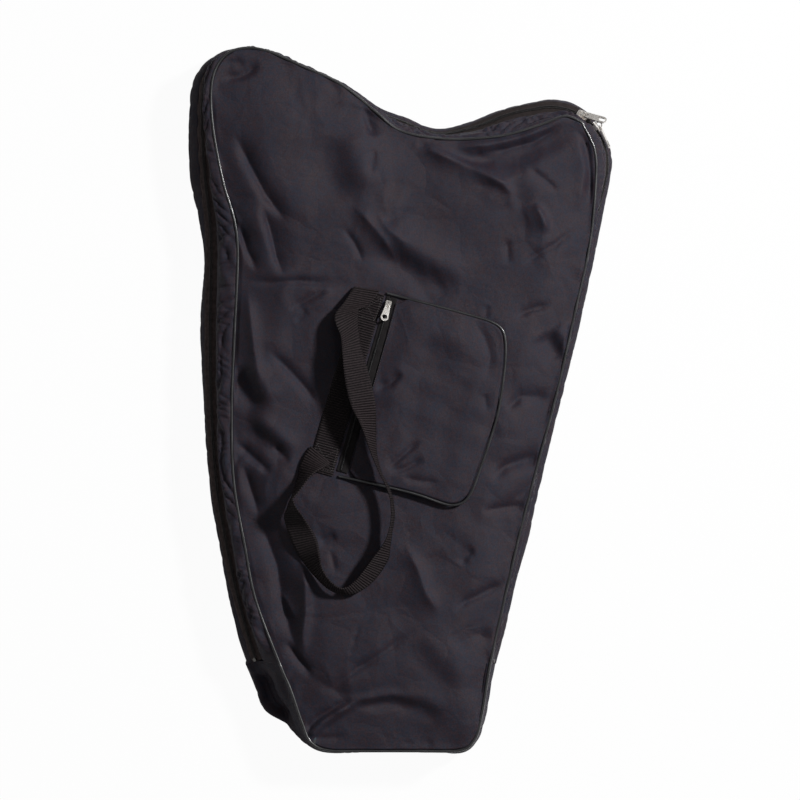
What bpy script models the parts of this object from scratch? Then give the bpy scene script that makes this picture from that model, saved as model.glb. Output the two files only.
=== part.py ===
"""Padded zip-up cover for a small harp, empty and closed, lying on its back.

+Y is the top of the cover, +X is right as seen from the front, +Z is up out of the front panel.
The lid (front panel and the gusset above the zip) turns about the front seam along the foot.
"""
import math

import bmesh
import bpy
from mathutils import Matrix, Vector

# Overall size of the cover, and the same span in picture units for the outlines below
bag_width = 0.618
bag_length = 1.038
width_px = 423.0
length_px = 711.0
centre_px = (399.925, 401.34)

# Heights above the surface that the back lies on
zip_height = 0.050
front_gusset_rise = 0.034
front_seam_height = zip_height + front_gusset_rise
widest_height = 0.026
dome_height = 0.016

# Cloth, padding and trim
cloth = 0.0010
panel_foam = 0.005
gusset_foam = 0.003
lining = 0.0008
gap = 0.0003
layer_gap = 0.0008
inner_end_trim = 0.008
piping_radius = 0.002
back_seam_inset = 0.0175
gusset_bulge = 0.004
lining_drop = 0.0090
span_step = 0.048
arc_step = 8.0

# Main zip: half of the chain sits on each tape
tape_width = 0.010
tape = 0.0008
coil_radius = 0.0012
corner_centre_px = (551.0, 163.0)
corner_radius = 0.0832
left_slider_angle = 33.0
right_slider_angle = 51.0

# Main sliders and pulls
slider_length = 0.017
slider_width = 0.013
slider_plate = 0.0014
slider_clearance = 0.0006
arch_inner = 0.0037
arch_bar = 0.0016
arch_width = 0.0022
arch_leg = 0.0012
pull_length = 0.0355
pull_width = 0.0125
pull_thickness = 0.0018
pull_eye_bar = 0.0012
pull_eye_length = 0.0054
pull_eye_width = 0.0044
pull_shoulder_share = 0.86
pull_hole_length_share = 0.29
pull_hole_width_share = 0.53
pull_hole_place_share = 0.815
left_pull_lift = 24.0
right_pull_turn = -14.0
stop_length = 0.006
stop_width = 0.0055
stop_height = 0.002

# Pocket and its zip
pocket_height = 0.0080
pocket_piping_radius = 0.0018
pocket_inner_tape = 0.008
pocket_outer_tape = 0.0056
pocket_slider_length = 0.012
pocket_slider_width = 0.0085
pocket_pull_length = 0.0235
pocket_pull_width = 0.0115
pocket_pull_lift = 4.0
pocket_hole_length_share = 0.294
pocket_hole_width_share = 0.235
pocket_hole_place_share = 0.775
pocket_chain_shares = (0.01, 0.99)
arch_scale_share = 0.72

# Webbing
webbing_width = 0.038
webbing = 0.0016
webbing_px = 26.0
band_overrun = 0.0095
band_gap = 0.0037
handle_height = 0.035

# One row a station from the left end of the zip up over the top:
# front seam, zip line, widest line of the wall, and how far the zip leans to face up, in degrees
left_and_top_px = [
    ((280, 664), (257, 662), (246, 666), 45),
    ((256, 600), (239, 602), (230, 600), 50),
    ((245, 545), (226, 542), (220, 543), 55),
    ((234, 480), (216, 480), (210, 480), 55),
    ((232, 408), (211, 402), (205, 402), 55),
    ((235, 330), (210, 330), (201, 330), 55),
    ((238, 258), (211, 262), (205, 262), 55),
    ((235, 222), (210, 222), (200, 224), 55),
    ((223, 180), (205, 176), (191, 180), 50),
    ((213, 125), (202, 126), (188, 124), 45),
    ((212, 84), (203, 88), (191, 84), 40),
    ((221, 60), (211, 66), (204, 62), 25),
    ((238, 49), (232, 55), (228, 48), 10),
    ((264, 50), (264, 54), (264, 48), 10),
    ((302, 66), (302, 69), (302, 63), 10),
    ((342, 85), (342, 88), (342, 82), 10),
    ((376, 112), (378, 111), (378, 106), 15),
    ((399, 130), (403, 121), (403, 115), 20),
    ((434, 138), (436, 133), (436, 129), 25),
    ((470, 139), (470, 128), (470, 122), 40),
    ((506, 135), (508, 114), (506, 108), 50),
]
# Round the top right corner the zip follows an arc: front seam, angle from straight up, bulge, lean
corner_px = [
    ((534, 127), -15, 7, 55),
    ((551, 121), 5, 7, 55),
    ((566, 116), 20, 7, 55),
    ((581, 122), 39.5, 6, 55),
    ((584, 127), 44.5, 5, 15),
    ((590, 138), 60, 4, 15),
    ((595, 152), 80, 4, 15),
    ((596, 177), 103.2, 4, 15),
]
# Down the right side the zip is straight: front seam, widest line, share of the way down
right_px = [
    ((590, 242), (597, 242), 0.135),
    ((573, 320), (581, 320), 0.295),
    ((557, 391), (562, 391), 0.441),
    ((536, 470), (543, 470), 0.602),
    ((518, 540), (527, 540), 0.746),
    ((503, 605), (510, 605), 0.879),
    ((490, 664), (497, 664), 1.0),
]
right_end_px = (492.3, 664.0)
right_lean = 15
# Round the foot, with no zip: front seam, widest line, and whether it runs on straight
foot_px = [
    ((482, 712), (488, 712), False),
    ((474, 740), (478, 741), False),
    ((455, 751), (457, 755), True),
    ((396, 751), (396, 755), True),
    ((335, 751), (333, 755), False),
    ((312, 743), (306, 746), False),
    ((302, 722), (286, 726), False),
    ((291, 690), (264, 700), False),
]

panel_centre_px = (400, 400)
dome_shares = [(1.0, 0.0), (0.86, 0.66), (0.72, 1.0)]

pocket_px = [
    (394, 300), (414, 303.5), (443, 311), (471, 319), (489, 325), (498, 332), (501, 342), (501, 361),
    (498, 387), (493, 415), (485, 441), (476, 466), (468, 488), (461, 497), (453, 500), (444, 499),
    (417, 490), (389, 483), (362, 477), (347, 473.5),
]
pocket_piping_px = [
    (387, 293.5), (412, 300), (443, 308), (472, 316), (491, 322), (501.5, 329.5), (505, 341),
    (505, 361), (502, 387), (497, 415), (489, 442), (480, 468), (472, 490), (464, 501), (454, 504.5),
    (443, 503), (417, 494), (389, 487), (360, 480.5), (339, 476),
]
pocket_centre_px = (430, 397)
pocket_dome_shares = [(1.0, 0.14), (0.88, 0.62), (0.74, 1.0)]
pocket_zip_px = ((390.5, 297), (340.5, 471.5))
pocket_slider_share = 0.045

# Handle: where its two edges run as seen from the front, the second one lower, and how high its
# middle stands as shares of the handle's height
upper_strand_route = [
    ((354, 287), (380, 291)),
    ((345, 302), (369, 306)),
    ((335, 317), (359, 310)),
    ((341, 336), (358, 324)),
    ((343, 354), (362, 350)),
    ((346, 383), (370, 378)),
    ((351, 404), (375, 401)),
    ((359, 420), (376, 420)),
    ((365, 435), (377, 438)),
    ((371, 452), (378, 454)),
    ((379, 471), (382, 472)),
    ((386, 485), (389, 485.5)),
    ((390.5, 498.3), (393.5, 498.3)),
]
upper_strand_height_shares = [
    0.097, 0.314, 0.571, 0.771, 0.914, 1, 1, 0.943, 0.886, 0.829, 0.8, 0.786, 0.786,
]
loop_route = [
    ((390.6, 499.2), (393.6, 499.2)),
    ((391, 515), (395, 515)),
    ((388, 532), (392, 532)),
    ((382, 544), (390, 547)),
    ((374, 555), (388, 559)),
    ((364, 568), (379, 575)),
    ((354, 579), (366, 588)),
    ((344, 585), (349, 594)),
    ((333, 581), (331, 590)),
    ((323, 568), (315.5, 576)),
    ((320, 552), (302.5, 560)),
    ((316, 536), (292, 541)),
    ((305, 518), (285, 519)),
    ((297, 507), (287.5, 508)),
    ((293.5, 499.2), (291, 499.2)),
]
loop_height_shares = [
    0.786, 0.757, 0.714, 0.671, 0.586, 0.543, 0.586, 0.6, 0.6, 0.543, 0.443, 0.257, 0.371, 0.571,
    0.657,
]
lower_strand_route = [
    ((293.5, 498.3), (291, 498.3)),
    ((302.5, 487), (295.5, 487)),
    ((310, 477), (299, 475)),
    ((319, 470), (301, 463)),
    ((331, 463), (311, 446)),
]
lower_strand_height_shares = [
    0.657, 0.6, 0.586, 0.471, 0.097,
]

# Colours, roughness and metal of each kind of piece
finishes = {
    "nylon": ((0.026, 0.023, 0.029), 0.62, 0.0),
    "foam": ((0.30, 0.30, 0.31), 0.95, 0.0),
    "lining": ((0.05, 0.05, 0.055), 0.80, 0.0),
    "vinyl": ((0.035, 0.034, 0.038), 0.32, 0.0),
    "tape": ((0.020, 0.019, 0.021), 0.85, 0.0),
    "coil": ((0.016, 0.016, 0.017), 0.45, 0.0),
    "webbing": ((0.022, 0.020, 0.022), 0.70, 0.0),
    "nickel": ((0.72, 0.70, 0.67), 0.24, 1.0),
}


def to_plan(point):
    """Turn a picture place into metres, seen from above."""
    return Vector(((point[0] - centre_px[0]) * bag_width / width_px,
                   (centre_px[1] - point[1]) * bag_length / length_px))


def lift(point, height):
    return Vector((point.x, point.y, height))


def make_collection(name):
    collection = bpy.data.collections.new(name)
    bpy.context.scene.collection.children.link(collection)
    return collection


def make_material(name, kind):
    colour, roughness, metallic = finishes[kind]
    material = bpy.data.materials.new(name)
    material.use_nodes = True
    shader = material.node_tree.nodes["Principled BSDF"]
    shader.inputs["Base Color"].default_value = (*colour, 1.0)
    shader.inputs["Roughness"].default_value = roughness
    shader.inputs["Metallic"].default_value = metallic
    material.diffuse_color = (*colour, 1.0)
    return material


def add_object(name, data, kind, body, collection=None):
    """Add a sub-part under the empty of the body that carries it, left where it is in the world."""
    part = bpy.data.objects.new(name, data)
    (collection or parts).objects.link(part)
    data.materials.append(make_material(name, kind))
    if body is not None:
        part.parent = body
        part.matrix_parent_inverse = body.matrix_world.inverted()
    return part


def add_body(name, place, parent=None):
    """Add the empty that stands on a moving body's joint axis."""
    body = bpy.data.objects.new(name, None)
    parts.objects.link(body)
    body.location = place
    body.empty_display_size = piping_radius
    bpy.context.view_layer.update()
    if parent is not None:
        body.parent = parent
        body.matrix_parent_inverse = parent.matrix_world.inverted()
        bpy.context.view_layer.update()
    return body


def smooth_between(points, index, share):
    """Read a closed Catmull-Rom curve between two of its points."""
    before, start, end, after = (points[(index + step) % len(points)] for step in (-1, 0, 1, 2))
    return 0.5 * (2 * start + (end - before) * share
                  + (2 * before - 5 * start + 4 * end - after) * share ** 2
                  + (3 * start - before - 3 * end + after) * share ** 3)


def corner_direction(angle):
    return Vector((math.sin(math.radians(angle)), math.cos(math.radians(angle))))


class Station:
    """One place along the wall: three lines seen from above, the zip's lean and its way outward."""

    def __init__(self, front, zip_line, widest, lean, outward=None):
        self.front = front
        self.zip_line = zip_line
        self.widest = widest
        self.lean = math.radians(lean)
        self.outward = outward

    def rise(self):
        """Direction along the tape, up towards the front panel."""
        flat = -math.sin(self.lean) * self.outward
        return lift(flat, math.cos(self.lean))

    def face(self):
        """Direction square out of the tape."""
        flat = math.cos(self.lean) * self.outward
        return lift(flat, math.sin(self.lean))

    def zip_point(self, along_tape=0.0, out_of_tape=0.0):
        return lift(self.zip_line, zip_height) + self.rise() * along_tape + self.face() * out_of_tape

    def front_point(self):
        return lift(self.front, front_seam_height)

    def widest_point(self):
        return lift(self.widest, widest_height)

    def back_seam(self):
        inward = to_plan(panel_centre_px) - self.widest
        return lift(self.widest + inward.normalized() * back_seam_inset, piping_radius)


def make_stations():
    """Sample the wall all the way round, clockwise from the left end of the zip."""
    centre = to_plan(corner_centre_px)
    rows = []
    for front, zip_line, widest, lean in left_and_top_px:
        rows.append(("curve", to_plan(front), to_plan(zip_line), to_plan(widest), lean, None))
    for front, angle, bulge, lean in corner_px:
        direction = corner_direction(angle)
        zip_line = centre + direction * corner_radius
        widest = zip_line + direction * bulge * bag_width / width_px
        rows.append(("arc", to_plan(front), zip_line, widest, lean, angle))
    line_start = rows[-1][2]
    rows[-1] = ("line", *rows[-1][1:])
    for front, widest, share in right_px:
        zip_line = line_start.lerp(to_plan(right_end_px), share)
        rows.append(("line", to_plan(front), zip_line, to_plan(widest), right_lean, None))
    rows[-1] = ("foot", *rows[-1][1:])
    zip_end = len(rows) - 1
    for front, widest, straight in foot_px:
        middle = (to_plan(front) + to_plan(widest)) / 2
        kind = "base" if straight else "foot"
        rows.append((kind, to_plan(front), middle, to_plan(widest), right_lean, None))

    stations = []
    zip_end_station = 0
    curves = [[row[column] for row in rows] for column in (1, 2, 3)]
    for index, row in enumerate(rows):
        following = rows[(index + 1) % len(rows)]
        if index == zip_end:
            zip_end_station = len(stations)
        if row[0] == "arc":
            count = max(1, round((following[5] - row[5]) / arc_step))
        else:
            count = max(1, round((following[3] - row[3]).length / span_step))
        for step in range(count):
            share = step / count
            front, zip_line, widest = (smooth_between(curve, index, share) for curve in curves)
            outward = None
            if row[0] == "arc":
                outward = corner_direction(row[5] + (following[5] - row[5]) * share)
                zip_line = centre + outward * corner_radius
            if row[0] == "line":
                zip_line = row[2].lerp(following[2], share)
                run = to_plan(right_end_px) - line_start
                outward = Vector((-run.y, run.x)).normalized()
            if row[0] == "base":
                front, zip_line, widest = (row[k].lerp(following[k], share) for k in (1, 2, 3))
            lean = row[4] + (following[4] - row[4]) * share
            stations.append(Station(front, zip_line, widest, lean, outward))
    for index, station in enumerate(stations):
        if station.outward is None:
            run = stations[(index + 1) % len(stations)].zip_line - stations[index - 1].zip_line
            station.outward = Vector((-run.y, run.x)).normalized()
    return stations, zip_end_station


def towards(start, end, distance):
    return start + (end - start).normalized() * distance


def trim_ends(rows, start_trim, end_trim):
    """Pull the two ends of a strip back along its rows."""
    for row in rows:
        row[0] = towards(row[0], row[1], start_trim)
        row[-1] = towards(row[-1], row[-2], end_trim)
    return rows


def shell(name, rows, depth, thickness, kind, body, closed=False, filled=False, face_up=False):
    """Skin the rows, sink the skin by depth along its normals and give it thickness inward."""
    mesh = bpy.data.meshes.new(name)
    bm = bmesh.new()
    rings = [[bm.verts.new(point) for point in row] for row in rows]
    size = len(rows[0])
    for upper, lower in zip(rings, rings[1:]):
        for index in range(size if closed else size - 1):
            after = (index + 1) % size
            corners = [upper[index], upper[after], lower[after], lower[index]]
            bm.faces.new(corners[::-1] if face_up else corners)
    if filled:
        bm.faces.new(rings[-1][::-1] if face_up else rings[-1])
    bm.normal_update()
    for vertex in bm.verts:
        vertex.co -= vertex.normal * depth
    bm.to_mesh(mesh)
    bm.free()
    part = add_object(name, mesh, kind, body)
    solidify = part.modifiers.new("thickness", "SOLIDIFY")
    solidify.thickness = thickness
    solidify.offset = -1.0
    solidify.use_even_offset = False
    return part


def layers(prefix, rows, inner_rows, foam, space, body, **options):
    """Outer cloth, foam and lining of one panel or wall, a little space apart."""
    shell(prefix + "_cover", rows, 0.0, cloth, "nylon", body, **options)
    shell(prefix + "_foam", inner_rows, cloth + space, foam, "foam", body, **options)
    shell(prefix + "_lining", inner_rows, cloth + foam + 2 * space, lining, "lining", body,
          **options)


def tube(name, points, radius, kind, body, closed=False, sides=1):
    curve = bpy.data.curves.new(name, "CURVE")
    curve.dimensions = "3D"
    curve.twist_mode = "Z_UP"
    curve.bevel_depth = radius
    curve.bevel_resolution = sides
    curve.use_fill_caps = True
    spline = curve.splines.new("POLY")
    spline.points.add(len(points) - 1)
    for target, point in zip(spline.points, points):
        target.co = (*point, 1.0)
    spline.use_cyclic_u = closed
    return add_object(name, curve, kind, body)


def front_and_back_walls(stations, zip_end, back_body, lid_body):
    """Gussets, tapes and coils on both sides of the zip."""
    zipped = stations[:zip_end + 1]
    seam = piping_radius + gap

    def lid_rows(drop, tape_gap, end_trim):
        rows = [[], [], []]
        for station in zipped:
            top = station.front_point()
            bottom = station.zip_point(tape_width)
            middle = (top + bottom) / 2 + lift(station.outward * gusset_bulge, 0.0)
            rows[0].append(towards(top, middle, drop))
            rows[1].append(middle)
            rows[2].append(towards(bottom, middle, tape_gap))
        return trim_ends(rows, end_trim, end_trim)

    def back_rows(drop, tape_gap, end_trim):
        rows = [[], [], []]
        for station in zipped:
            top = station.zip_point(-tape_width)
            middle = station.widest_point()
            bottom = station.back_seam()
            rows[0].append(towards(top, middle, tape_gap))
            rows[1].append(middle)
            rows[2].append(towards(bottom, middle, drop))
        return trim_ends(rows, end_trim, end_trim)

    hem = cloth + gap
    for name, rows_of, body in (("front", lid_rows, lid_body), ("back", back_rows, back_body)):
        layers(name + "_gusset", rows_of(seam, hem, gap),
               rows_of(lining_drop, gusset_foam, inner_end_trim), gusset_foam, layer_gap, body)

    for name, side, body in (("front", 1, lid_body), ("back", -1, back_body)):
        edges = [side * tape_width, side * gap / 2]
        if side < 0:
            edges.reverse()
        rows = [[station.zip_point(edge, tape / 2) for station in zipped] for edge in edges]
        shell(name + "_zip_tape", trim_ends(rows, gap, gap), 0.0, tape, "tape", body)
        beside = side * (coil_radius + gap)
        height = tape / 2 + gap + coil_radius
        points = [station.zip_point(beside, height) for station in zipped]
        tube(name + "_zip_coil", trim_ends([points], stop_length, stop_length)[0], coil_radius,
             "coil", body, sides=0)


def foot_wall(stations, zip_end, body):
    """Full-depth gusset round the foot, from one end of the zip to the other."""
    span = stations[zip_end:] + stations[:1]

    def rows_from(drop, end_trim):
        rows = [[], [], [], []]
        for station in span:
            top = station.front_point()
            middle = lift(station.zip_line, zip_height)
            widest = station.widest_point()
            bottom = station.back_seam()
            rows[0].append(towards(top, middle, drop))
            rows[1].append(middle)
            rows[2].append(widest)
            rows[3].append(towards(bottom, widest, drop))
        return trim_ends(rows, end_trim, end_trim)

    layers("foot_gusset", rows_from(piping_radius + gap, gap),
           rows_from(lining_drop, inner_end_trim), gusset_foam, layer_gap, body)


def inset_outline(outline, inset):
    """Move a clockwise outline inward, square to its own run."""
    moved = []
    for index, point in enumerate(outline):
        before = (point - outline[index - 1]).normalized()
        after = (outline[(index + 1) % len(outline)] - point).normalized()
        run = before + after
        inward = Vector((run.y, -run.x)).normalized()
        corner = max(inward.dot(Vector((after.y, -after.x))), 0.5)
        moved.append(point + inward * inset / corner)
    return moved


def panels(stations, back_body, lid_body):
    """Front and back panels with the piping round them."""
    centre = to_plan(panel_centre_px)
    inset = piping_radius + 2 * gap
    front_top = front_seam_height + cloth / 2
    front_edge = inset_outline([station.front for station in stations], inset)
    front_rows = [[lift(centre.lerp(point, reach), front_top + dome_height * height)
                   for point in front_edge] for reach, height in dome_shares]
    layers("front_panel", front_rows, front_rows, panel_foam, gap, lid_body,
           closed=True, filled=True, face_up=True)
    tube("front_piping", [station.front_point() for station in stations], piping_radius, "vinyl",
         lid_body, closed=True)

    back_seam = [station.back_seam().xy for station in stations]
    back_edge = [lift(point, 0.0) for point in inset_outline(back_seam, inset)]
    layers("back_panel", [back_edge], [back_edge], panel_foam, gap, back_body, filled=True)
    tube("back_piping", [station.back_seam() for station in stations], piping_radius, "vinyl",
         back_body, closed=True)


def box_mesh(name, low, high, bevel=0.0):
    bm = bmesh.new()
    bmesh.ops.create_cube(bm, size=1.0)
    size = high - low
    bmesh.ops.scale(bm, vec=size, verts=bm.verts)
    bmesh.ops.translate(bm, vec=(low + high) / 2, verts=bm.verts)
    if bevel:
        upright = [edge for edge in bm.edges
                   if abs((edge.verts[0].co - edge.verts[1].co).normalized().z) > 0.9]
        bmesh.ops.bevel(bm, geom=upright, offset=bevel, segments=3, profile=0.5, affect="EDGES")
    mesh = bpy.data.meshes.new(name)
    bm.to_mesh(mesh)
    bm.free()
    return mesh


def arch_mesh(name, inner, bar, width, pivot_height, foot_height):
    """Half-round bridge over the pull's end bar, with legs down into the plate."""
    bm = bmesh.new()
    steps = 10
    rings = []
    for step in range(-1, steps + 2):
        turn = math.pi * min(max(step, 0), steps) / steps
        direction = Vector((math.cos(turn), 0.0, math.sin(turn)))
        base = Vector((0.0, 0.0, pivot_height))
        if step in (-1, steps + 1):
            base.z = foot_height
        ring = []
        for reach, side in ((inner, -1), (inner + bar, -1), (inner + bar, 1), (inner, 1)):
            ring.append(bm.verts.new(base + direction * reach + Vector((0.0, side * width / 2, 0.0))))
        rings.append(ring)
    for first, second in zip(rings, rings[1:]):
        for index in range(4):
            after = (index + 1) % 4
            bm.faces.new([first[index], first[after], second[after], second[index]])
    bm.faces.new(rings[0][::-1])
    bm.faces.new(rings[-1])
    bmesh.ops.recalc_face_normals(bm, faces=bm.faces)
    mesh = bpy.data.meshes.new(name)
    bm.to_mesh(mesh)
    bm.free()
    return mesh


def slider(name, place, length, width, size_share, body):
    """Outer plate of a slider with its bridge and the flange on the lid's side of the chain.

    Local X runs along the chain, -Y along the lid's tape and Z out of it, from the tape's face.
    Gives back where the pull's end bar bears, at the bridge's end towards +X.
    """
    plate_low = 2 * gap + 2 * coil_radius + slider_clearance
    plate_high = plate_low + slider_plate
    pivot_height = plate_high + (pull_eye_bar + arch_leg) * size_share + 2 * gap
    bar_reach = math.hypot(pull_eye_bar, pull_thickness / 2)
    pivot = Vector(((arch_inner - bar_reach) * size_share - gap, 0.0, pivot_height))
    half = Vector((length / 2, width / 2, 0.0))
    plate = box_mesh(name, lift(-half.xy, plate_low), lift(half.xy, plate_high), bevel=width / 4)
    flange_side = 2 * coil_radius + 3 * gap + slider_clearance
    flange = box_mesh(name + "_flange", Vector((-length / 4, -width / 2, slider_clearance)),
                      Vector((length / 4, -flange_side, plate_low + slider_plate / 2)))
    arch = arch_mesh(name + "_bridge", arch_inner * size_share, arch_bar * size_share,
                     arch_width * size_share, pivot_height, plate_low + slider_plate / 2)
    part = add_object(name, plate, "nickel", None)
    for mesh in (flange, arch):
        cutter = add_object(mesh.name, mesh, "nickel", None, cutters)
        cutter.hide_render = True
        cutter.display_type = "WIRE"
        cutter.matrix_world = place
        union = part.modifiers.new(mesh.name, "BOOLEAN")
        union.operation = "UNION"
        union.object = cutter
    part.matrix_world = place
    bpy.context.view_layer.update()
    part.parent = body
    part.matrix_parent_inverse = body.matrix_world.inverted()
    return pivot


def loop_points(length, width, middle, corner_steps=6):
    """A slot outline with round ends, along X about its middle."""
    radius = width / 2
    points = []
    for side in (1, -1):
        for step in range(corner_steps + 1):
            turn = math.pi * step / corner_steps - math.pi / 2
            points.append((middle + side * (length / 2 - radius + radius * math.cos(turn)),
                           side * radius * math.sin(turn)))
    return points


def pull_tab(name, place, length, width, hole_shares, size_share, body):
    """Flat pull: its end bar lies on local Y at the origin, the tab runs along local X."""
    end_bar = pull_eye_bar * size_share
    eye_end = end_bar + pull_eye_length * size_share
    eye_side = pull_eye_width * size_share / 2
    neck = width / 3 + gap
    shoulder = width / 2 * pull_shoulder_share
    round_radius = width / 2
    outline = [(-end_bar, -neck), (eye_end, -shoulder)]
    for step in range(11):
        turn = math.pi * step / 10 - math.pi / 2
        outline.append((length - round_radius + round_radius * math.cos(turn),
                        round_radius * math.sin(turn)))
    outline.extend([(eye_end, shoulder), (-end_bar, neck)])
    eye = [(end_bar, -eye_side), (eye_end, -eye_side), (eye_end, eye_side), (end_bar, eye_side)]
    length_share, width_share, place_share = hole_shares
    hole = loop_points(length * length_share, width * width_share, length * place_share)
    curve = bpy.data.curves.new(name, "CURVE")
    curve.dimensions = "2D"
    curve.fill_mode = "BOTH"
    curve.extrude = pull_thickness * size_share / 2
    for points in (outline, eye, hole):
        spline = curve.splines.new("POLY")
        spline.points.add(len(points) - 1)
        for target, point in zip(spline.points, points):
            target.co = (*point, 0.0, 1.0)
        spline.use_cyclic_u = True
    part = add_object(name, curve, "nickel", None)
    part.matrix_world = place
    bpy.context.view_layer.update()
    part.parent = body
    part.matrix_parent_inverse = body.matrix_world.inverted()


def axes_matrix(along, across, outward, place):
    matrix = Matrix((along, across, outward)).transposed().to_4x4()
    matrix.translation = place
    return matrix


def turned(along, outward, degrees):
    """Turn a direction along the chain up towards the way out of the tape."""
    angle = math.radians(degrees)
    return along * math.cos(angle) + outward * math.sin(angle)


def main_slider(side, angle, lean, pull_turn, lid_body):
    """A slider on the corner's arc and its pull, which points clockwise along the chain."""
    centre = to_plan(corner_centre_px)
    station = Station(None, centre + corner_direction(angle) * corner_radius, None, lean,
                      corner_direction(angle))
    outward = station.face()
    along = outward.cross(station.rise())
    across = outward.cross(along)
    place = axes_matrix(along, across, outward, station.zip_point(0.0, tape / 2))
    carrier = add_body(side + "_slider_carrier", lift(centre, zip_height), lid_body)
    pivot = slider(side + "_slider", place, slider_length, slider_width, 1.0, carrier)
    pivot_place = place @ pivot
    hinge = add_body(side + "_pull_hinge", pivot_place, carrier)
    direction = turned(along, outward, pull_turn)
    normal = direction.cross(across)
    pull_place = axes_matrix(direction, across, normal, pivot_place)
    hole_shares = (pull_hole_length_share, pull_hole_width_share, pull_hole_place_share)
    pull_tab(side + "_pull", pull_place, pull_length, pull_width, hole_shares, 1.0, hinge)


def zip_stops(stations, zip_end, body):
    """A metal stop on the back tape at each end of the chain."""
    near = 2 * gap
    for name, place_index, start, end in (("left", 0, near, stop_length - gap),
                                          ("right", zip_end, gap - stop_length, -near)):
        station = stations[place_index]
        outward = station.face()
        along = outward.cross(station.rise())
        place = axes_matrix(along, outward.cross(along), outward, station.zip_point(0.0, tape / 2))
        low = Vector((start, gap, gap))
        high = Vector((end, gap + stop_width, gap + stop_height))
        part = add_object(name + "_zip_stop", box_mesh(name + "_zip_stop", low, high, gap), "nickel",
                          None)
        part.matrix_world = place
        bpy.context.view_layer.update()
        part.parent = body
        part.matrix_parent_inverse = body.matrix_world.inverted()


def strip(name, start, end, near, far, low, thickness, kind, body):
    """A flat strip beside a straight line on the front panel, from near to far out of it."""
    run = (end - start).normalized()
    side = Vector((-run.y, run.x))
    rows = [[lift(start + side * edge, low + thickness), lift(end + side * edge, low + thickness)]
            for edge in (near, far)]
    return shell(name, rows, 0.0, thickness, kind, body)


def pocket(deck, lid_body):
    """Patch pocket with piping on three edges and a straight zip on the fourth."""
    centre = to_plan(pocket_centre_px)
    edge = [to_plan(point) for point in pocket_px]
    rows = [[lift(centre.lerp(point, reach), deck + cloth + gap + pocket_height * height)
             for point in edge] for reach, height in pocket_dome_shares]
    shell("pocket_panel", rows, 0.0, cloth, "nylon", lid_body, closed=True, filled=True,
          face_up=True)
    piping = [lift(to_plan(point), deck + gap + pocket_piping_radius) for point in pocket_piping_px]
    tube("pocket_piping", piping, pocket_piping_radius, "vinyl", lid_body)

    start, end = (to_plan(point) for point in pocket_zip_px)
    low = deck + gap
    strip("pocket_inner_tape", start, end, gap / 2, pocket_inner_tape, low, tape, "tape", lid_body)
    strip("pocket_outer_tape", start, end, -pocket_outer_tape, -gap / 2, low, tape, "tape", lid_body)
    chain_height = low + tape + gap + coil_radius
    chain = [lift(start.lerp(end, share), chain_height) for share in pocket_chain_shares]
    tube("pocket_zip_chain", chain, coil_radius, "coil", lid_body, sides=1)

    run = end - start
    along = lift(run.normalized(), 0.0)
    outward = Vector((0.0, 0.0, 1.0))
    across = outward.cross(along)
    rest = start + run * pocket_slider_share
    place = axes_matrix(along, across, outward, lift(rest, low + tape))
    carrier = add_body("pocket_slider_carrier", lift(rest, low + tape), lid_body)
    pivot = slider("pocket_slider", place, pocket_slider_length, pocket_slider_width,
                   arch_scale_share, carrier)
    pivot_place = place @ pivot
    hinge = add_body("pocket_pull_hinge", pivot_place, carrier)
    direction = turned(along, outward, pocket_pull_lift)
    pull_place = axes_matrix(direction, across, direction.cross(across), pivot_place)
    hole_shares = (pocket_hole_length_share, pocket_hole_width_share, pocket_hole_place_share)
    pull_tab("pocket_pull", pull_place, pocket_pull_length, pocket_pull_width, hole_shares,
             arch_scale_share, hinge)


def ribbon(name, route, height_shares, deck, body):
    """Webbing along a route, as wide as it really is and turned to look as wide as it is seen."""
    rows = [[], []]
    for (first, second), height_share in zip(route, height_shares):
        seen = Vector(second) - Vector(first)
        share = min(seen.length / webbing_px, 1.0)
        middle = (to_plan(first) + to_plan(second)) / 2
        flat = (to_plan(second) - to_plan(first)).normalized() * share
        rise = -math.sqrt(1.0 - share ** 2)
        half = lift(flat, rise) * webbing_width / 2
        centre = lift(middle, deck + handle_height * height_share)
        rows[0].append(centre - half)
        rows[1].append(centre + half)
    part = shell(name, rows, 0.0, webbing, "webbing", body)
    part.modifiers["thickness"].offset = 0.0
    return part


def webbing_pieces(deck, lid_body):
    """Sewn band and the handle: two strands fixed to the band's ends and the loop that lifts."""
    start, end = (to_plan(point) for point in pocket_zip_px)
    end = towards(end, start, -band_overrun)
    near = -pocket_outer_tape - band_gap
    strip("webbing_band", start, end, near - webbing_width, near, deck + gap, webbing, "webbing",
          lid_body)
    ribbon("handle_upper_strand", upper_strand_route, upper_strand_height_shares, deck, lid_body)
    ribbon("handle_lower_strand", lower_strand_route, lower_strand_height_shares, deck, lid_body)
    joints = [(to_plan(first) + to_plan(second)) / 2
              for first, second in (loop_route[0], loop_route[-1])]
    top = deck + handle_height * loop_height_shares[0] + webbing_width / 2 + gap
    hinge = add_body("handle_hinge", lift((joints[0] + joints[1]) / 2, top), lid_body)
    ribbon("handle_loop", loop_route, loop_height_shares, deck, hinge)


for old in list(bpy.data.objects):
    bpy.data.objects.remove(old, do_unlink=True)
parts = make_collection("harp_cover")
cutters = make_collection("cutters")

wall, zip_end_index = make_stations()
deck_height = front_seam_height + cloth / 2 + dome_height
foot_line = to_plan(foot_px[3][0])
back_shell = add_body("back_shell", (0.0, 0.0, 0.0))
lid = add_body("lid_hinge", lift(foot_line, front_seam_height), back_shell)

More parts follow.
